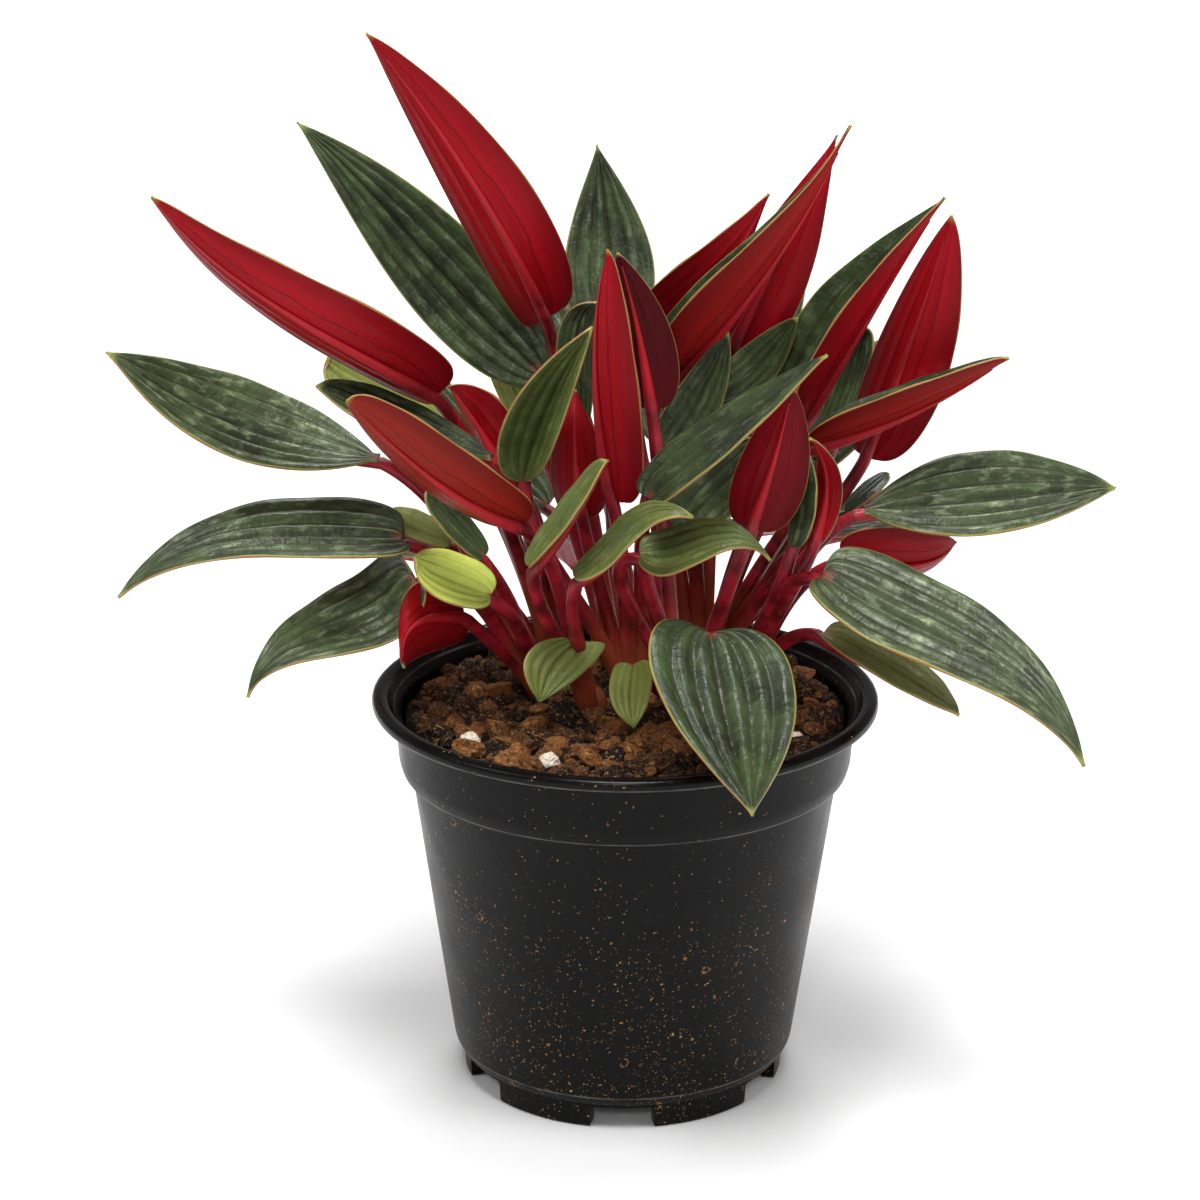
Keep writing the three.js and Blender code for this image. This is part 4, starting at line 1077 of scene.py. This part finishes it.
def blade_grid(leaf, frame):
    """Where on the blade each point is, and the upper and the lower points in mm."""
    rows, columns = (SMALL_ROWS, SMALL_COLUMNS) if leaf.get("small") else (ROWS, COLUMNS)
    along = np.linspace(0, 1, rows) ** ROW_CROWDING
    even = np.linspace(-1, 1, columns + 1)
    side = COLUMN_CROWDING * np.sin(even * np.pi / 2) + (1 - COLUMN_CROWDING) * even
    along, side = np.meshgrid(along, side, indexing="ij")
    middle = blade_surface(leaf, frame, along, side)
    under = blade_surface(leaf, frame, along, side, UNDER_SHARE)
    normal = np.cross(np.gradient(under, axis=1), np.gradient(under, axis=0))
    length = np.linalg.norm(normal, axis=-1, keepdims=True)
    normal = np.where(length > NO_LENGTH, normal / np.maximum(length, NO_LENGTH), frame["facing"])
    thin = 1 - MARGIN_THINNING * np.abs(side) ** 6
    offset = normal * (0.5 * BLADE_THICKNESS * thin)[..., None]
    return along, side, middle + offset, under - offset


def quads(a, b, c, d):
    """One four-sided face for each place in four grids of point numbers."""
    return np.stack([a, b, c, d], axis=-1).reshape(-1, 4)


def blade_faces(rows, columns, start):
    """Quads of the upper grid, the lower grid and the rim between them."""
    index = np.arange(rows * columns).reshape(rows, columns) + start
    low = index + rows * columns
    top = quads(index[:-1, :-1], index[:-1, 1:], index[1:, 1:], index[1:, :-1])
    under = quads(low[:-1, :-1], low[1:, :-1], low[1:, 1:], low[:-1, 1:])
    right = quads(index[:-1, -1], low[:-1, -1], low[1:, -1], index[1:, -1])
    left = quads(index[1:, 0], low[1:, 0], low[:-1, 0], index[:-1, 0])
    base = quads(index[0, 1:], index[0, :-1], low[0, :-1], low[0, 1:])
    tip = quads(index[-1, :-1], index[-1, 1:], low[-1, 1:], low[-1, :-1])
    return np.concatenate([top, right, left, base, tip]), under


# %% Build all the blades of one leafy stem
OWN_VALUES = {"leaf_youth": 0.0, "leaf_blush": 0.5, "leaf_silver": 0.3}

# each leaf's fine grain is read this far, in mm, from that of the leaf before it
SEED_DISTANCE = 50.0


def blades(name, leaves, top_material, under_material):
    """All the blades as one mesh object, with the values that their finish reads."""
    points, top_faces, under_faces = [], [], []
    values = {key: [] for key in ("blade_along", "blade_side", "blade_place", *OWN_VALUES)}
    start = 0
    for leaf in leaves:
        frame_of_leaf = blade_frame(leaf)
        along, side, upper, lower = blade_grid(leaf, frame_of_leaf)
        rows, columns = along.shape
        upper_faces, lower_faces = blade_faces(rows, columns, start)
        points += [upper.reshape(-1, 3), lower.reshape(-1, 3)]
        top_faces.append(upper_faces)
        under_faces.append(lower_faces)
        count = 2 * rows * columns
        start += count
        own_place = np.stack([
            side * frame_of_leaf["width"] / 2,
            along * frame_of_leaf["length"],
            np.full_like(along, SEED_DISTANCE * leaf["seed"]),
        ], axis=-1) * MM
        values["blade_along"].append(np.tile(along.ravel(), 2))
        values["blade_side"].append(np.tile(side.ravel(), 2))
        values["blade_place"].append(np.tile(own_place.reshape(-1, 3), (2, 1)))
        for key, usual in OWN_VALUES.items():
            values[key].append(np.full(count, leaf.get(key.removeprefix("leaf_"), usual)))
    faces = np.concatenate(top_faces + under_faces)
    made = new_object(name, np.concatenate(points), faces.tolist(), top_material)
    made.data.materials.append(under_material)
    split = sum(len(part) for part in top_faces)
    slots = [0] * split + [1] * (len(faces) - split)
    made.data.polygons.foreach_set("material_index", slots)
    for key, parts in values.items():
        keep_values(made.data, key, np.concatenate(parts))
    smooth_shading(made.data)
    return made


# %% [markdown]
# ## A leaf's finish
#
# The upper side is dark green, with a silvery skin over the ridges, partly the leaf's own tone and
# partly a painted sheen, and thin dark lines over the sunken veins, partly their own reddish brown
# and partly painted shade in the creases. Its rim and tip are a thin line of yellow-green and rose.
# Young leaves are yellow-green all over. The underside is crimson, darker along the veins and
# towards the margin, whose very edge is yellow-green. Both sides are fleshy and a little waxy: a
# satin gloss, and some light that passes under the skin. The patterns read the places that the mesh
# keeps, so they follow each leaf however it bends.

# %% Masks that follow the veins
def vein_mask(tree, reach, width, veins):
    """1 on a vein, 0 from that share of the half width on."""
    return spread(tree, distance_to(tree, reach, veins), width, 0.0)


def blade_inputs(tree):
    """What a leaf's finish reads of the mesh."""
    return {
        "along": kept(tree, "blade_along"),
        "reach": calculate(tree, "ABSOLUTE", kept(tree, "blade_side")),
        "place": kept(tree, "blade_place", "Vector"),
        "youth": kept(tree, "leaf_youth"),
        "blush": kept(tree, "leaf_blush"),
    }


# %% The upper side
LEAF_DEEP = color("141b0e")
LEAF_GREEN = color("334222")
LEAF_SILVER_SHEEN = color("919c77")
LEAF_VEIN_AND_SHADE = color("2c1d13")
LEAF_YOUNG = color("b6c25a")
LEAF_MARGIN = color("99a055")
LEAF_ROSE = color("8e3f36")

leaf_top, tree, shader, _ = new_material("leaf_upper_side")
blade = blade_inputs(tree)
side_veins = calculate(tree, "MULTIPLY", vein_mask(tree, blade["reach"], 0.055, VEINS[1:3]), 0.55)
veins = calculate(tree, "MAXIMUM", vein_mask(tree, blade["reach"], 0.06, VEINS[:1]), side_veins)
off_vein = calculate(tree, "SUBTRACT", 1.0, veins)
blotch = grain(tree, blade["place"], 90, 3)
streaked = grain(tree, stretched(tree, blade["place"], 1.0, 0.3, 1.0), 560, 4, 0.6)
puckers = grain(tree, stretched(tree, blade["place"], 0.6, 1.0, 1.0), 520, 3, 0.5, 0.8)
tone = mix(tree, spread(tree, blotch, 0.3, 0.7), LEAF_DEEP, LEAF_GREEN)
# The silver over the ridges is partly the leaf's own silvery tone and partly a painted sheen.
silver = calculate(tree, "MULTIPLY", spread(tree, streaked, 0.48, 0.78, 0.1, 1.0), off_vein)
silver = calculate(tree, "MULTIPLY", silver, kept(tree, "leaf_silver"))
tone = mix(tree, silver, tone, LEAF_SILVER_SHEEN)
# Darker over the sunken veins: partly their own reddish brown, partly painted shade in the creases.
tone = mix(tree, calculate(tree, "MULTIPLY", veins, 0.7), tone, LEAF_VEIN_AND_SHADE)
young = mix(tree, calculate(tree, "MULTIPLY", veins, 0.45), LEAF_YOUNG, LEAF_GREEN)
young = mix(tree, spread(tree, blotch, 0.5, 0.75, 0, 0.7), young, LEAF_GREEN)
tone = mix(tree, blade["youth"], tone, young)
tone = mix(tree, spread(tree, blade["reach"], 0.965, 0.99, 0, 0.75), tone, LEAF_MARGIN)
tone = mix(tree, spread(tree, blade["reach"], 0.985, 1.0, 0, 0.6), tone, LEAF_ROSE)
tone = mix(tree, spread(tree, blade["along"], 0.95, 1.0, 0, 0.8), tone, LEAF_MARGIN)
near_stalk = spread(tree, blade["along"], 0.05, 0.0)
stained = calculate(tree, "MULTIPLY", near_stalk, spread(tree, blade["reach"], 0.45, 0.0))
tone = mix(tree, calculate(tree, "MULTIPLY", stained, 0.8), tone, LEAF_ROSE)
tree.links.new(tone, shader.inputs["Base Color"])
tree.links.new(spread(tree, streaked, 0.3, 0.7, 0.42, 0.26), shader.inputs["Roughness"])
set_shader(shader, Subsurface_Weight=0.05, Subsurface_Scale=0.002, Specular_IOR_Level=0.22)
quilting = calculate(tree, "ADD", calculate(tree, "MULTIPLY", streaked, 0.6), puckers)
bump(tree, shader, quilting, 0.32)

# %% The underside
UNDER_DEEP = color("35050a")
UNDER_CRIMSON = color("960c17")
UNDER_DULL = color("782012")
UNDER_MARGIN = color("94803f")

leaf_under, tree, shader, _ = new_material("leaf_underside")
blade = blade_inputs(tree)
wandering = spread(tree, grain(tree, blade["place"], 45, 2), 0.3, 0.7, -0.05, 0.05)
veins = vein_mask(tree, calculate(tree, "ADD", blade["reach"], wandering), 0.035, VEINS[:2])
cloud = grain(tree, stretched(tree, blade["place"], 1.0, 0.35, 1.0), 70, 2)
fine = grain(tree, stretched(tree, blade["place"], 1.0, 0.4, 1.0), 900, 3)
tone = mix(tree, spread(tree, cloud, 0.2, 0.8, 0.0, 0.35), UNDER_CRIMSON, UNDER_DEEP)
tone = mix(tree, spread(tree, blade["blush"], 0.5, 1.0, 0, 0.8), tone, UNDER_DULL)
# A low blush darkens the underside: partly the leaf's own deeper red, partly painted shade where a leaf
# lies in shadow.
tone = mix(tree, spread(tree, blade["blush"], 0.5, 0.0, 0, 0.9), tone, UNDER_DEEP)
tone = mix(tree, calculate(tree, "MULTIPLY", veins, 0.6), tone, UNDER_DEEP)
tone = mix(tree, calculate(tree, "MULTIPLY", blade["youth"], 0.75), tone, LEAF_YOUNG)
edge_dark = spread(tree, blade["reach"], 0.45, 0.95, 0, 0.45)
tone = mix(tree, edge_dark, tone, UNDER_DEEP)
tone = mix(tree, spread(tree, blade["reach"], 0.975, 0.992, 0, 0.7), tone, UNDER_MARGIN)
tone = mix(tree, spread(tree, blade["along"], 0.965, 1.0, 0, 0.6), tone, UNDER_MARGIN)
tree.links.new(tone, shader.inputs["Base Color"])
tree.links.new(spread(tree, fine, 0.3, 0.7, 0.34, 0.44), shader.inputs["Roughness"])
set_shader(shader, Subsurface_Weight=0.06, Subsurface_Scale=0.002, Specular_IOR_Level=0.08)
bump(tree, shader, fine, 0.1)

# %% [markdown]
# ## The stalks
#
# Each blade hangs on a round fleshy stalk, a little thicker at its foot, which comes out of a
# short stem in the soil and runs on under the blade as its midrib. A stalk follows a path, so it
# is drawn as a curve that is as thick as each of its points says, and a Geometry Nodes tree
# sweeps a circle along all the curves of a leafy stem at once. The sweep makes one ring of points
# for each point of a path, in order, so the finished mesh can keep how far along the stalk each
# is. The finish needs that to turn from olive at the soil to crimson above, and into the
# underside's own red along the midrib.

# %% Paths of a stalk and of its stem
STEM_RADIUS = 4.2
STALK_FOOT = 0.5
STALK_OFFSET = 0.45
STALK_RISE = 0.25
STALK_FOLLOWS = 0.55
STALK_STOPS_BEFORE, STALK_STOPS_BELOW = 1.5, 0.6
STALK_LEAVES_FOR, STALK_ARRIVES_FOR = 0.4, 0.3
STALK_WIDTH, STALK_NARROWS = 1.12, 0.24
FOOT_SWELL, FOOT_SWELL_FADES = 0.22, 14
STALK_STEPS = 26
MIDRIB_START, MIDRIB_END = 0.035, 0.9
MIDRIB_STEPS = 22
MIDRIB_WIDTH, MIDRIB_TAPER, MIDRIB_THINNEST = 0.84, 1.6, 0.14
MIDRIB_SINKS = 0.55
STEM_HEIGHTS = (-14, -2, 3, 5.2, 6.6, 7.2)
STEM_SHARES = (0.75, 1, 0.95, 0.75, 0.45, 0.12)


def stalk_path(stem, leaf, frame_of_leaf):
    """Points of the stalk and of the midrib beyond it, each with its radius and colour value."""
    base, facing = leaf["base"], frame_of_leaf["facing"]
    outward_flat = unit(at(base[0] - stem[0], base[1] - stem[1], 0))
    bottom = at(stem[0], stem[1], SOIL_LEVEL + STALK_FOOT) + outward_flat * STALK_OFFSET * STEM_RADIUS
    span = np.linalg.norm(base - bottom)
    outward = unit(base - bottom)
    rise = unit(outward * (1 - STALK_RISE) + SKY * STALK_RISE)
    follow = leaf.get("follow", STALK_FOLLOWS)
    arrive = unit(frame_of_leaf["start"] * follow + outward * (1 - follow))
    end = base - arrive * STALK_STOPS_BEFORE - facing * STALK_STOPS_BELOW
    leaves_stem = bottom + rise * span * STALK_LEAVES_FOR
    meets_blade = base - arrive * span * STALK_ARRIVES_FOR
    curve = (bottom, leaves_stem, meets_blade, end)
    share = np.linspace(0, 1, STALK_STEPS)
    stalk = bezier(curve, share)
    swell = FOOT_SWELL * np.exp(-share * FOOT_SWELL_FADES)
    radius = STALK_RADIUS * (STALK_WIDTH - STALK_NARROWS * share + swell)
    under = np.linspace(MIDRIB_START, MIDRIB_END, MIDRIB_STEPS)
    taper = (1 - under / MIDRIB_END) ** MIDRIB_TAPER
    rib_radius = MIDRIB_WIDTH * STALK_RADIUS * taper + MIDRIB_THINNEST
    sunk = 0.5 * BLADE_THICKNESS + MIDRIB_SINKS * rib_radius
    rib = bezier(frame_of_leaf["midrib"], under) - facing * sunk[:, None]
    points = np.concatenate([stalk, rib])
    return points, np.concatenate([radius, rib_radius]), np.concatenate([share, 1 + under])


def stem_path(stem):
    """The short stem: upright, from inside the soil, and rounded off above."""
    points = [at(stem[0], stem[1], SOIL_LEVEL + height) for height in STEM_HEIGHTS]
    return np.array(points), STEM_RADIUS * np.array(STEM_SHARES), np.zeros(len(points))


# %% A tree that sweeps a circle along every path
sweep, given, out = new_tree("sweep stalks", Sides="Int", Material="Material")
section = add(sweep, "GeometryNodeCurvePrimitiveCircle", {"Resolution": given["Sides"], "Radius": 1.0})
thickness = add(sweep, "GeometryNodeInputRadius")
tube = add(sweep, "GeometryNodeCurveToMesh", {
    "Curve": given["Geometry"], "Profile Curve": section.outputs[0],
    "Scale": thickness.outputs[0], "Fill Caps": True})
painted = add(sweep, "GeometryNodeSetMaterial", {0: tube.outputs[0], "Material": given["Material"]})
smoothed = add(sweep, "GeometryNodeSetShadeSmooth", {0: painted.outputs[0]})
real = add(sweep, "GeometryNodeRealizeInstances", {0: smoothed.outputs[0]})
sweep.links.new(real.outputs[0], out.inputs[0])

STALK_SIDES = 16


def stalks(name, paths, material):
    """Sweeps the paths and returns one plain mesh object."""
    curve = bpy.data.curves.new(name + "_paths", "CURVE")
    curve.dimensions = "3D"
    shares = []
    for points, radii, values in paths:
        spline = curve.splines.new("POLY")
        spline.points.add(len(points) - 1)
        spline.points.foreach_set("co", np.column_stack([points * MM, np.ones(len(points))]).ravel())
        spline.points.foreach_set("radius", radii * MM)
        shares.append(values)
    lines = bpy.data.objects.new(name + "_paths", curve)
    bpy.context.collection.objects.link(lines)
    modifier = lines.modifiers.new("sweep", "NODES")
    modifier.node_group = sweep
    set_inputs(modifier, Sides=STALK_SIDES, Material=material)
    made = to_plain_mesh(lines, name)
    keep_values(made.data, "stalk_share", np.repeat(np.concatenate(shares), STALK_SIDES))
    return made


# %% The stalks' finish
STALK_OLIVE = color("5a3018")
STALK_ORANGE = color("96452c")
STALK_CRIMSON = color("971a2a")
STALK_DEEP = color("4f0a12")

stalk_flesh, tree, shader, place = new_material("stalk_flesh_red")
share = kept(tree, "stalk_share")
streaks = grain(tree, stretched(tree, place, 1.0, 1.0, 0.16), 700, 4, 0.6)
blotch = grain(tree, place, 160, 3)
tone = mix(tree, spread(tree, blotch, 0.3, 0.7), STALK_DEEP, STALK_CRIMSON)
tone = mix(tree, calculate(tree, "MULTIPLY", spread(tree, streaks, 0.5, 0.8), 0.5), tone, STALK_ORANGE)
tone = mix(tree, spread(tree, share, 0.45, 0.1), tone, STALK_ORANGE)
tone = mix(tree, spread(tree, share, 0.14, 0.0, 0, 0.85), tone, STALK_OLIVE)
tone = mix(tree, spread(tree, share, 1.0, 1.15, 0, 0.85), tone, UNDER_CRIMSON)
tree.links.new(tone, shader.inputs["Base Color"])
tree.links.new(spread(tree, share, 0.95, 1.15, 0.32, 0.5), shader.inputs["Roughness"])
set_shader(shader, Subsurface_Weight=0.12, Subsurface_Scale=0.003, Specular_IOR_Level=0.25)
bump(tree, shader, streaks, 0.1)

# %% [markdown]
# ## The plant, stem by stem
#
# The plant has nine short stems, and each carries its own bunch. A leaf is given by its blade's
# base and tip and by its two margins where it is widest. "top", "under" and "sky" say which side
# faces whom. Some leaves say more: where the midrib runs if the blade is folded, how lobed the
# base is, how young or how silvery the leaf is, and how dark or how orange its underside is. The
# silver is partly a painted sheen, and a dark underside is partly painted shade.


# %% Write a leaf down
def leaf(shows, base, tip, left, right, **more):
    """One leaf, as the functions above read it."""
    return {"shows": shows, "base": base, "tip": tip, "edges": (left, right), **more}


LEAVES = {}

# %% The left bunch
LEAVES["leafy_stem_left"] = [
    # far left, green
    leaf("top", seen(378, 459, 6), seen(108, 351, -19), seen(261, 384, 14), seen(232, 457, -8),
         roundness=0.9, taper=1.0, lobe=0, silver=0.95),
    # left, level, green
    leaf("top", seen(402, 541, 2), seen(118, 596, -14), seen(317, 497, 10), seen(328, 558, -14),
         late=seen(184, 557, -10), roundness=0.3, taper=0.85, silver=0.6),
    # lowest left, dark green
    leaf("top", seen(415, 580, -12), seen(247, 696, -30), seen(353, 576, 0), seen(396, 639, -22),
         late=seen(282, 657, -27), roundness=0.35, taper=1.1, silver=0.6),
    # red cup over the rim
    leaf("under", seen(463, 617, -8), seen(403, 667, -24), seen(419, 582, -17), seen(437, 650, -10),
         rib=seen(424, 618, -22), small=True, taper=0.85, follow=0.1, blush=0.6),
    # small, round, yellow-green
    leaf("top", seen(489, 596, -16), seen(416, 556, -28), seen(463, 554, -14), seen(446, 602, -28),
         small=True, youth=1.0),
    # small, olive
    leaf("top", seen(450, 545, 8), seen(388, 512, 12), seen(425, 513, 14), seen(412, 538, 4),
         small=True, youth=0.4),
    # narrow, dark green, under the orange-red one
    leaf("top", seen(482, 556, -10), seen(430, 488, -14), seen(443, 530, -16), seen(462, 508, -8),
         small=True),
]

# %% The left bunch behind it
LEAVES["leafy_stem_left_back"] = [
    # long red underside, upper left
    leaf("under", seen(435, 394, -2), seen(152, 195, -24), seen(372, 308, -20), seen(335, 360, -6),
         late=seen(214, 259, -18), roundness=0.35, taper=0.85, lobe=0.1),
    # pale, behind the long red one
    leaf("top", seen(455, 440, 24), seen(330, 360, 26), seen(388, 372, 32), seen(372, 420, 18),
         small=True, youth=0.35),
    # dark green, narrow
    leaf("top", seen(490, 458, -6), seen(317, 384, -12), seen(403, 397, -2), seen(387, 435, -16),
         small=True, roundness=0.8, taper=0.65),
    # back, upper left
    leaf("sky", at(-38, 38, 140), at(-75, 62, 168), at(-46, 56, 158), at(-56, 38, 152)),
    # back, low left
    leaf("sky", at(-42, 32, 118), at(-86, 58, 112), at(-52, 50, 121), at(-64, 32, 119)),
    # small, red, with a hooked tip
    leaf("under", seen(505, 465, 8), seen(450, 385, 10), seen(508, 410, 4), seen(476, 440, 16), small=True),
]

# %% The front bunch
LEAVES["leafy_stem_front"] = [
    # heart, left of the middle
    leaf("top", seen(575, 644, -14), seen(540, 702, -26), seen(527, 654, -24), seen(594, 663, -18),
         small=True, roundness=0.59, taper=0.91, lobe=0.32, follow=0.1, youth=0.24),
    # orange-red underside, front left
    leaf("under", seen(522, 524, -24), seen(347, 399, -42), seen(462, 448, -40), seen(430, 493, -26),
         late=seen(386, 437, -40), roundness=0.45, taper=0.6, lobe=0.12, blush=0.95),
    # small, folded edge-on
    leaf("sky", seen(530, 567, -28), seen(606, 459, -32), seen(569, 523, -38), seen(553, 511, -26),
         rib=seen(566, 527, -29), small=True, roundness=0.4, taper=0.5, follow=0.2, youth=0.15),
    # small, green, with a light margin
    leaf("top", seen(576, 577, -30), seen(692, 516, -46), seen(614, 524, -28), seen(627, 549, -44),
         rib=seen(623, 541, -33), late=seen(655, 516, -40), small=True,
         roundness=0.4, taper=0.5, follow=0.2, youth=0.15),
]

# %% The middle bunch
LEAVES["leafy_stem_middle"] = [
    # tall, folded, magenta
    leaf("under", seen(615, 498, -6), seen(610, 249, -18), seen(641, 410, -20), seen(634, 408, -6),
         rib=seen(600, 400, -14), taper=0.85, blush=0.45),
    # green, folded open
    leaf("top", seen(524, 480, -6), seen(592, 328, -12), seen(503, 424, -14), seen(562, 425, -14),
         rib=seen(538, 428, -5), taper=0.85, youth=0.1),
    # dark red triangle
    leaf("under", seen(582, 520, 0), seen(575, 389, 2), seen(551, 478, 2), seen(607, 474, 4),
         rib=seen(577, 484, -4), small=True, taper=1.1, blush=0.6),
    # green, upright
    leaf("top", seen(662, 455, 4), seen(728, 332, 6), seen(668, 403, 6), seen(712, 426, 4),
         small=True, taper=0.8),
]

# %% The middle bunch behind it
LEAVES["leafy_stem_middle_back"] = [
    # tallest, red underside
    leaf("under", seen(546, 316, 16), seen(367, 32, -8), seen(477, 253, 10), seen(546, 209, 2),
         late=seen(418, 99, -3), roundness=0.35, taper=0.95, lobe=0.08),
    # long, dark green, beside it
    leaf("top", seen(541, 374, 30), seen(297, 122, 24), seen(425, 323, 26), seen(494, 257, 32),
         late=seen(361, 183, 26), roundness=0.5, taper=1.0),
    # upright, green, at the back
    leaf("top", seen(607, 335, 40), seen(597, 144, 56), seen(564, 272, 44), seen(655, 273, 46),
         roundness=0.55, taper=1.15, silver=0.3),
    # green, behind the folded one
    leaf("top", seen(578, 420, 14), seen(598, 303, 10), seen(556, 350, 12), seen(594, 370, 12), small=True),
    # pale green, back
    leaf("top", seen(545, 455, 36), seen(487, 345, 44), seen(500, 400, 40), seen(530, 385, 40),
         small=True, youth=0.3),
]

# %% The right front bunch
LEAVES["leafy_stem_right_front"] = [
    # small heart in the middle
    leaf("top", seen(632, 667, -14), seen(634, 728, -26), seen(609, 690, -22), seen(652, 686, -20),
         small=True, lobe=0.22, follow=0.1, youth=0.34),
    # large heart that hangs over the rim
    leaf("top", seen(710, 635, -36), seen(753, 814, -76), seen(651, 671, -50), seen(796, 690, -48),
         roundness=0.48, taper=1.08, lobe=0.12, follow=0.1, silver=0.2),
    # green, tip bent down
    leaf("top", seen(640, 556, -26), seen(770, 559, -34), seen(679, 524, -22), seen(677, 573, -38),
         late=seen(737, 541, -34), roundness=0.5, taper=1.1, youth=0.12),
    # dark red oval: partly its own red, partly painted shade
    leaf("under", seen(752, 527, -18), seen(793, 387, -20), seen(735, 471, -14), seen(805, 492, -18),
         roundness=0.4, taper=0.8, lobe=0.08, blush=0.2),
    # long, green, across the front
    leaf("top", seen(652, 500, -24), seen(826, 354, -38), seen(677, 438, -20), seen(706, 472, -38),
         roundness=0.35, taper=1.0),
    # dark red, behind the tall one: partly its own deep red, partly painted shade
    leaf("under", seen(652, 408, -4), seen(618, 252, -7), seen(612, 350, 0), seen(677, 350, -2),
         blush=0.0),
    # dark green, below it
    leaf("top", seen(668, 538, -2), seen(760, 440, -2), seen(690, 466, 4), seen(728, 520, -6), small=True),
]

# %% The right bunch
LEAVES["leafy_stem_right"] = [
    # far right, green
    leaf("top", seen(864, 511, -4), seen(1116, 487, 14), seen(977, 451, 10), seen(985, 535, -12),
         roundness=0.85, taper=0.95, lobe=0, silver=0.75),
    # dark red, behind the two green ones
    leaf("under", seen(842, 560, 4), seen(955, 540, 14), seen(892, 527, 2), seen(890, 580, 14), small=True),
    # large, green, lower right
    leaf("top", seen(822, 578, -22), seen(1085, 765, -60), seen(933, 578, -22), seen(884, 647, -48),
         late=seen(1032, 699, -50), roundness=0.35, taper=0.9, silver=0.75),
    # olive, below it
    leaf("top", seen(824, 634, -10), seen(960, 714, -24), seen(900, 645, -6), seen(872, 673, -24),
         small=True, youth=0.15),
    # small, dark red
    leaf("under", seen(815, 545, -14), seen(810, 437, -24), seen(816, 500, -8), seen(842, 500, -12),
         small=True, blush=0.6),
    # narrow, red, with a pale margin
    leaf("sky", seen(790, 545, -14), seen(808, 455, -12), seen(816, 510, -18), seen(808, 505, -8),
         rib=seen(795, 505, -12), small=True, taper=0.85),
]

# %% The right bunch behind it
LEAVES["leafy_stem_right_back"] = [
    # red, pointing up right
    leaf("under", seen(650, 330, 22), seen(768, 192, 16), seen(664, 277, 14), seen(702, 309, 26),
         roundness=0.4, taper=1.1),
    # long, folded, red
    leaf("sky", seen(676, 375, 14), seen(849, 124, 0), seen(686, 304, -2), seen(680, 300, 16),
         rib=seen(720, 328, 6), taper=1.7, blush=0.75),
    # wide, red, behind it
    leaf("under", seen(735, 345, 26), seen(838, 135, 22), seen(735, 275, 30), seen(799, 306, 22),
         taper=1.2),
    # folded, green inside and red outside
    leaf("sky", seen(800, 425, 10), seen(943, 197, -4), seen(825, 335, 0), seen(797, 317, 18),
         rib=seen(847, 349, 9), roundness=0.6, taper=1.2),
    # green, behind the folded one
    leaf("top", seen(825, 458, 28), seen(862, 327, 34), seen(826, 400, 36), seen(864, 388, 30),
         small=True, taper=1.1),
    # large, red, right
    leaf("under", seen(868, 456, 16), seen(953, 215, 6), seen(868, 366, 20), seen(943, 392, 8),
         roundness=0.4, taper=0.8, lobe=0.05),
    # spear, red with a thin green edge
    leaf("sky", seen(812, 445, 0), seen(1008, 356, -6), seen(880, 398, -10), seen(884, 391, 8),
         rib=seen(888, 421, -4), taper=0.85, blush=0.8),
    # green, right of it
    leaf("top", seen(720, 400, 14), seen(797, 317, 14), seen(732, 357, 20), seen(766, 388, 14),
         small=True, taper=0.8),
    # behind the far right leaf
    leaf("top", seen(848, 512, 18), seen(888, 474, 30), seen(862, 484, 26), seen(876, 494, 18), small=True),
    # back, right, rising
    leaf("sky", at(40, 36, 140), at(78, 60, 171), at(46, 50, 158), at(59, 41, 147)),
    # back, low right
    leaf("sky", at(46, 32, 124), at(90, 58, 122), at(56, 50, 128), at(70, 34, 126)),
    # dark green, between the stalks
    leaf("top", seen(757, 605, 33), seen(800, 530, 36), seen(762, 552, 39), seen(790, 572, 31), small=True),
]

# %% The back bunch
LEAVES["leafy_stem_back"] = [
    # back, tall
    leaf("top", at(-14, 52, 160), at(-42, 74, 197), at(-30, 62, 168), at(-15, 66, 182)),
    # back, tall, right
    leaf("top", at(22, 48, 148), at(44, 68, 194), at(21, 60, 168), at(39, 56, 161)),
    # back, left
    leaf("sky", at(-20, 50, 126), at(-60, 77, 140), at(-29, 67, 138), at(-40, 53, 132)),
    # back, middle
    leaf("top", at(10, 50, 142), at(22, 76, 184), at(4, 62, 160), at(26, 60, 156)),
    # back, right
    leaf("sky", at(30, 46, 135), at(58, 70, 166), at(32, 60, 152), at(48, 50, 144)),
    # back, hanging low
    leaf("sky", at(-6, 54, 116), at(-14, 78, 101), at(-20, 62, 114), at(2, 66, 115)),
    # back, short, right
    leaf("sky", at(22, 50, 118), at(40, 74, 112), at(22, 62, 119), at(36, 56, 118), small=True),
]

# %% Grow every bunch
seed = 0
for name, leaves in LEAVES.items():
    stem = STEM_SPOTS[name]
    for grown in leaves:
        seed += 1
        grown["seed"] = seed
    paths = [stem_path(stem)] + [stalk_path(stem, grown, blade_frame(grown)) for grown in leaves]
    bunch = [
        blades(name + ".blades", leaves, leaf_top, leaf_under),
        stalks(name + ".stalks", paths, stalk_flesh),
    ]
    for piece, finish in zip(bunch, ("leaf_flesh", "stalk_flesh")):
        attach(piece, "root")
        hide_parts(name)
print(seed, "leaves on", len(LEAVES), "stems")
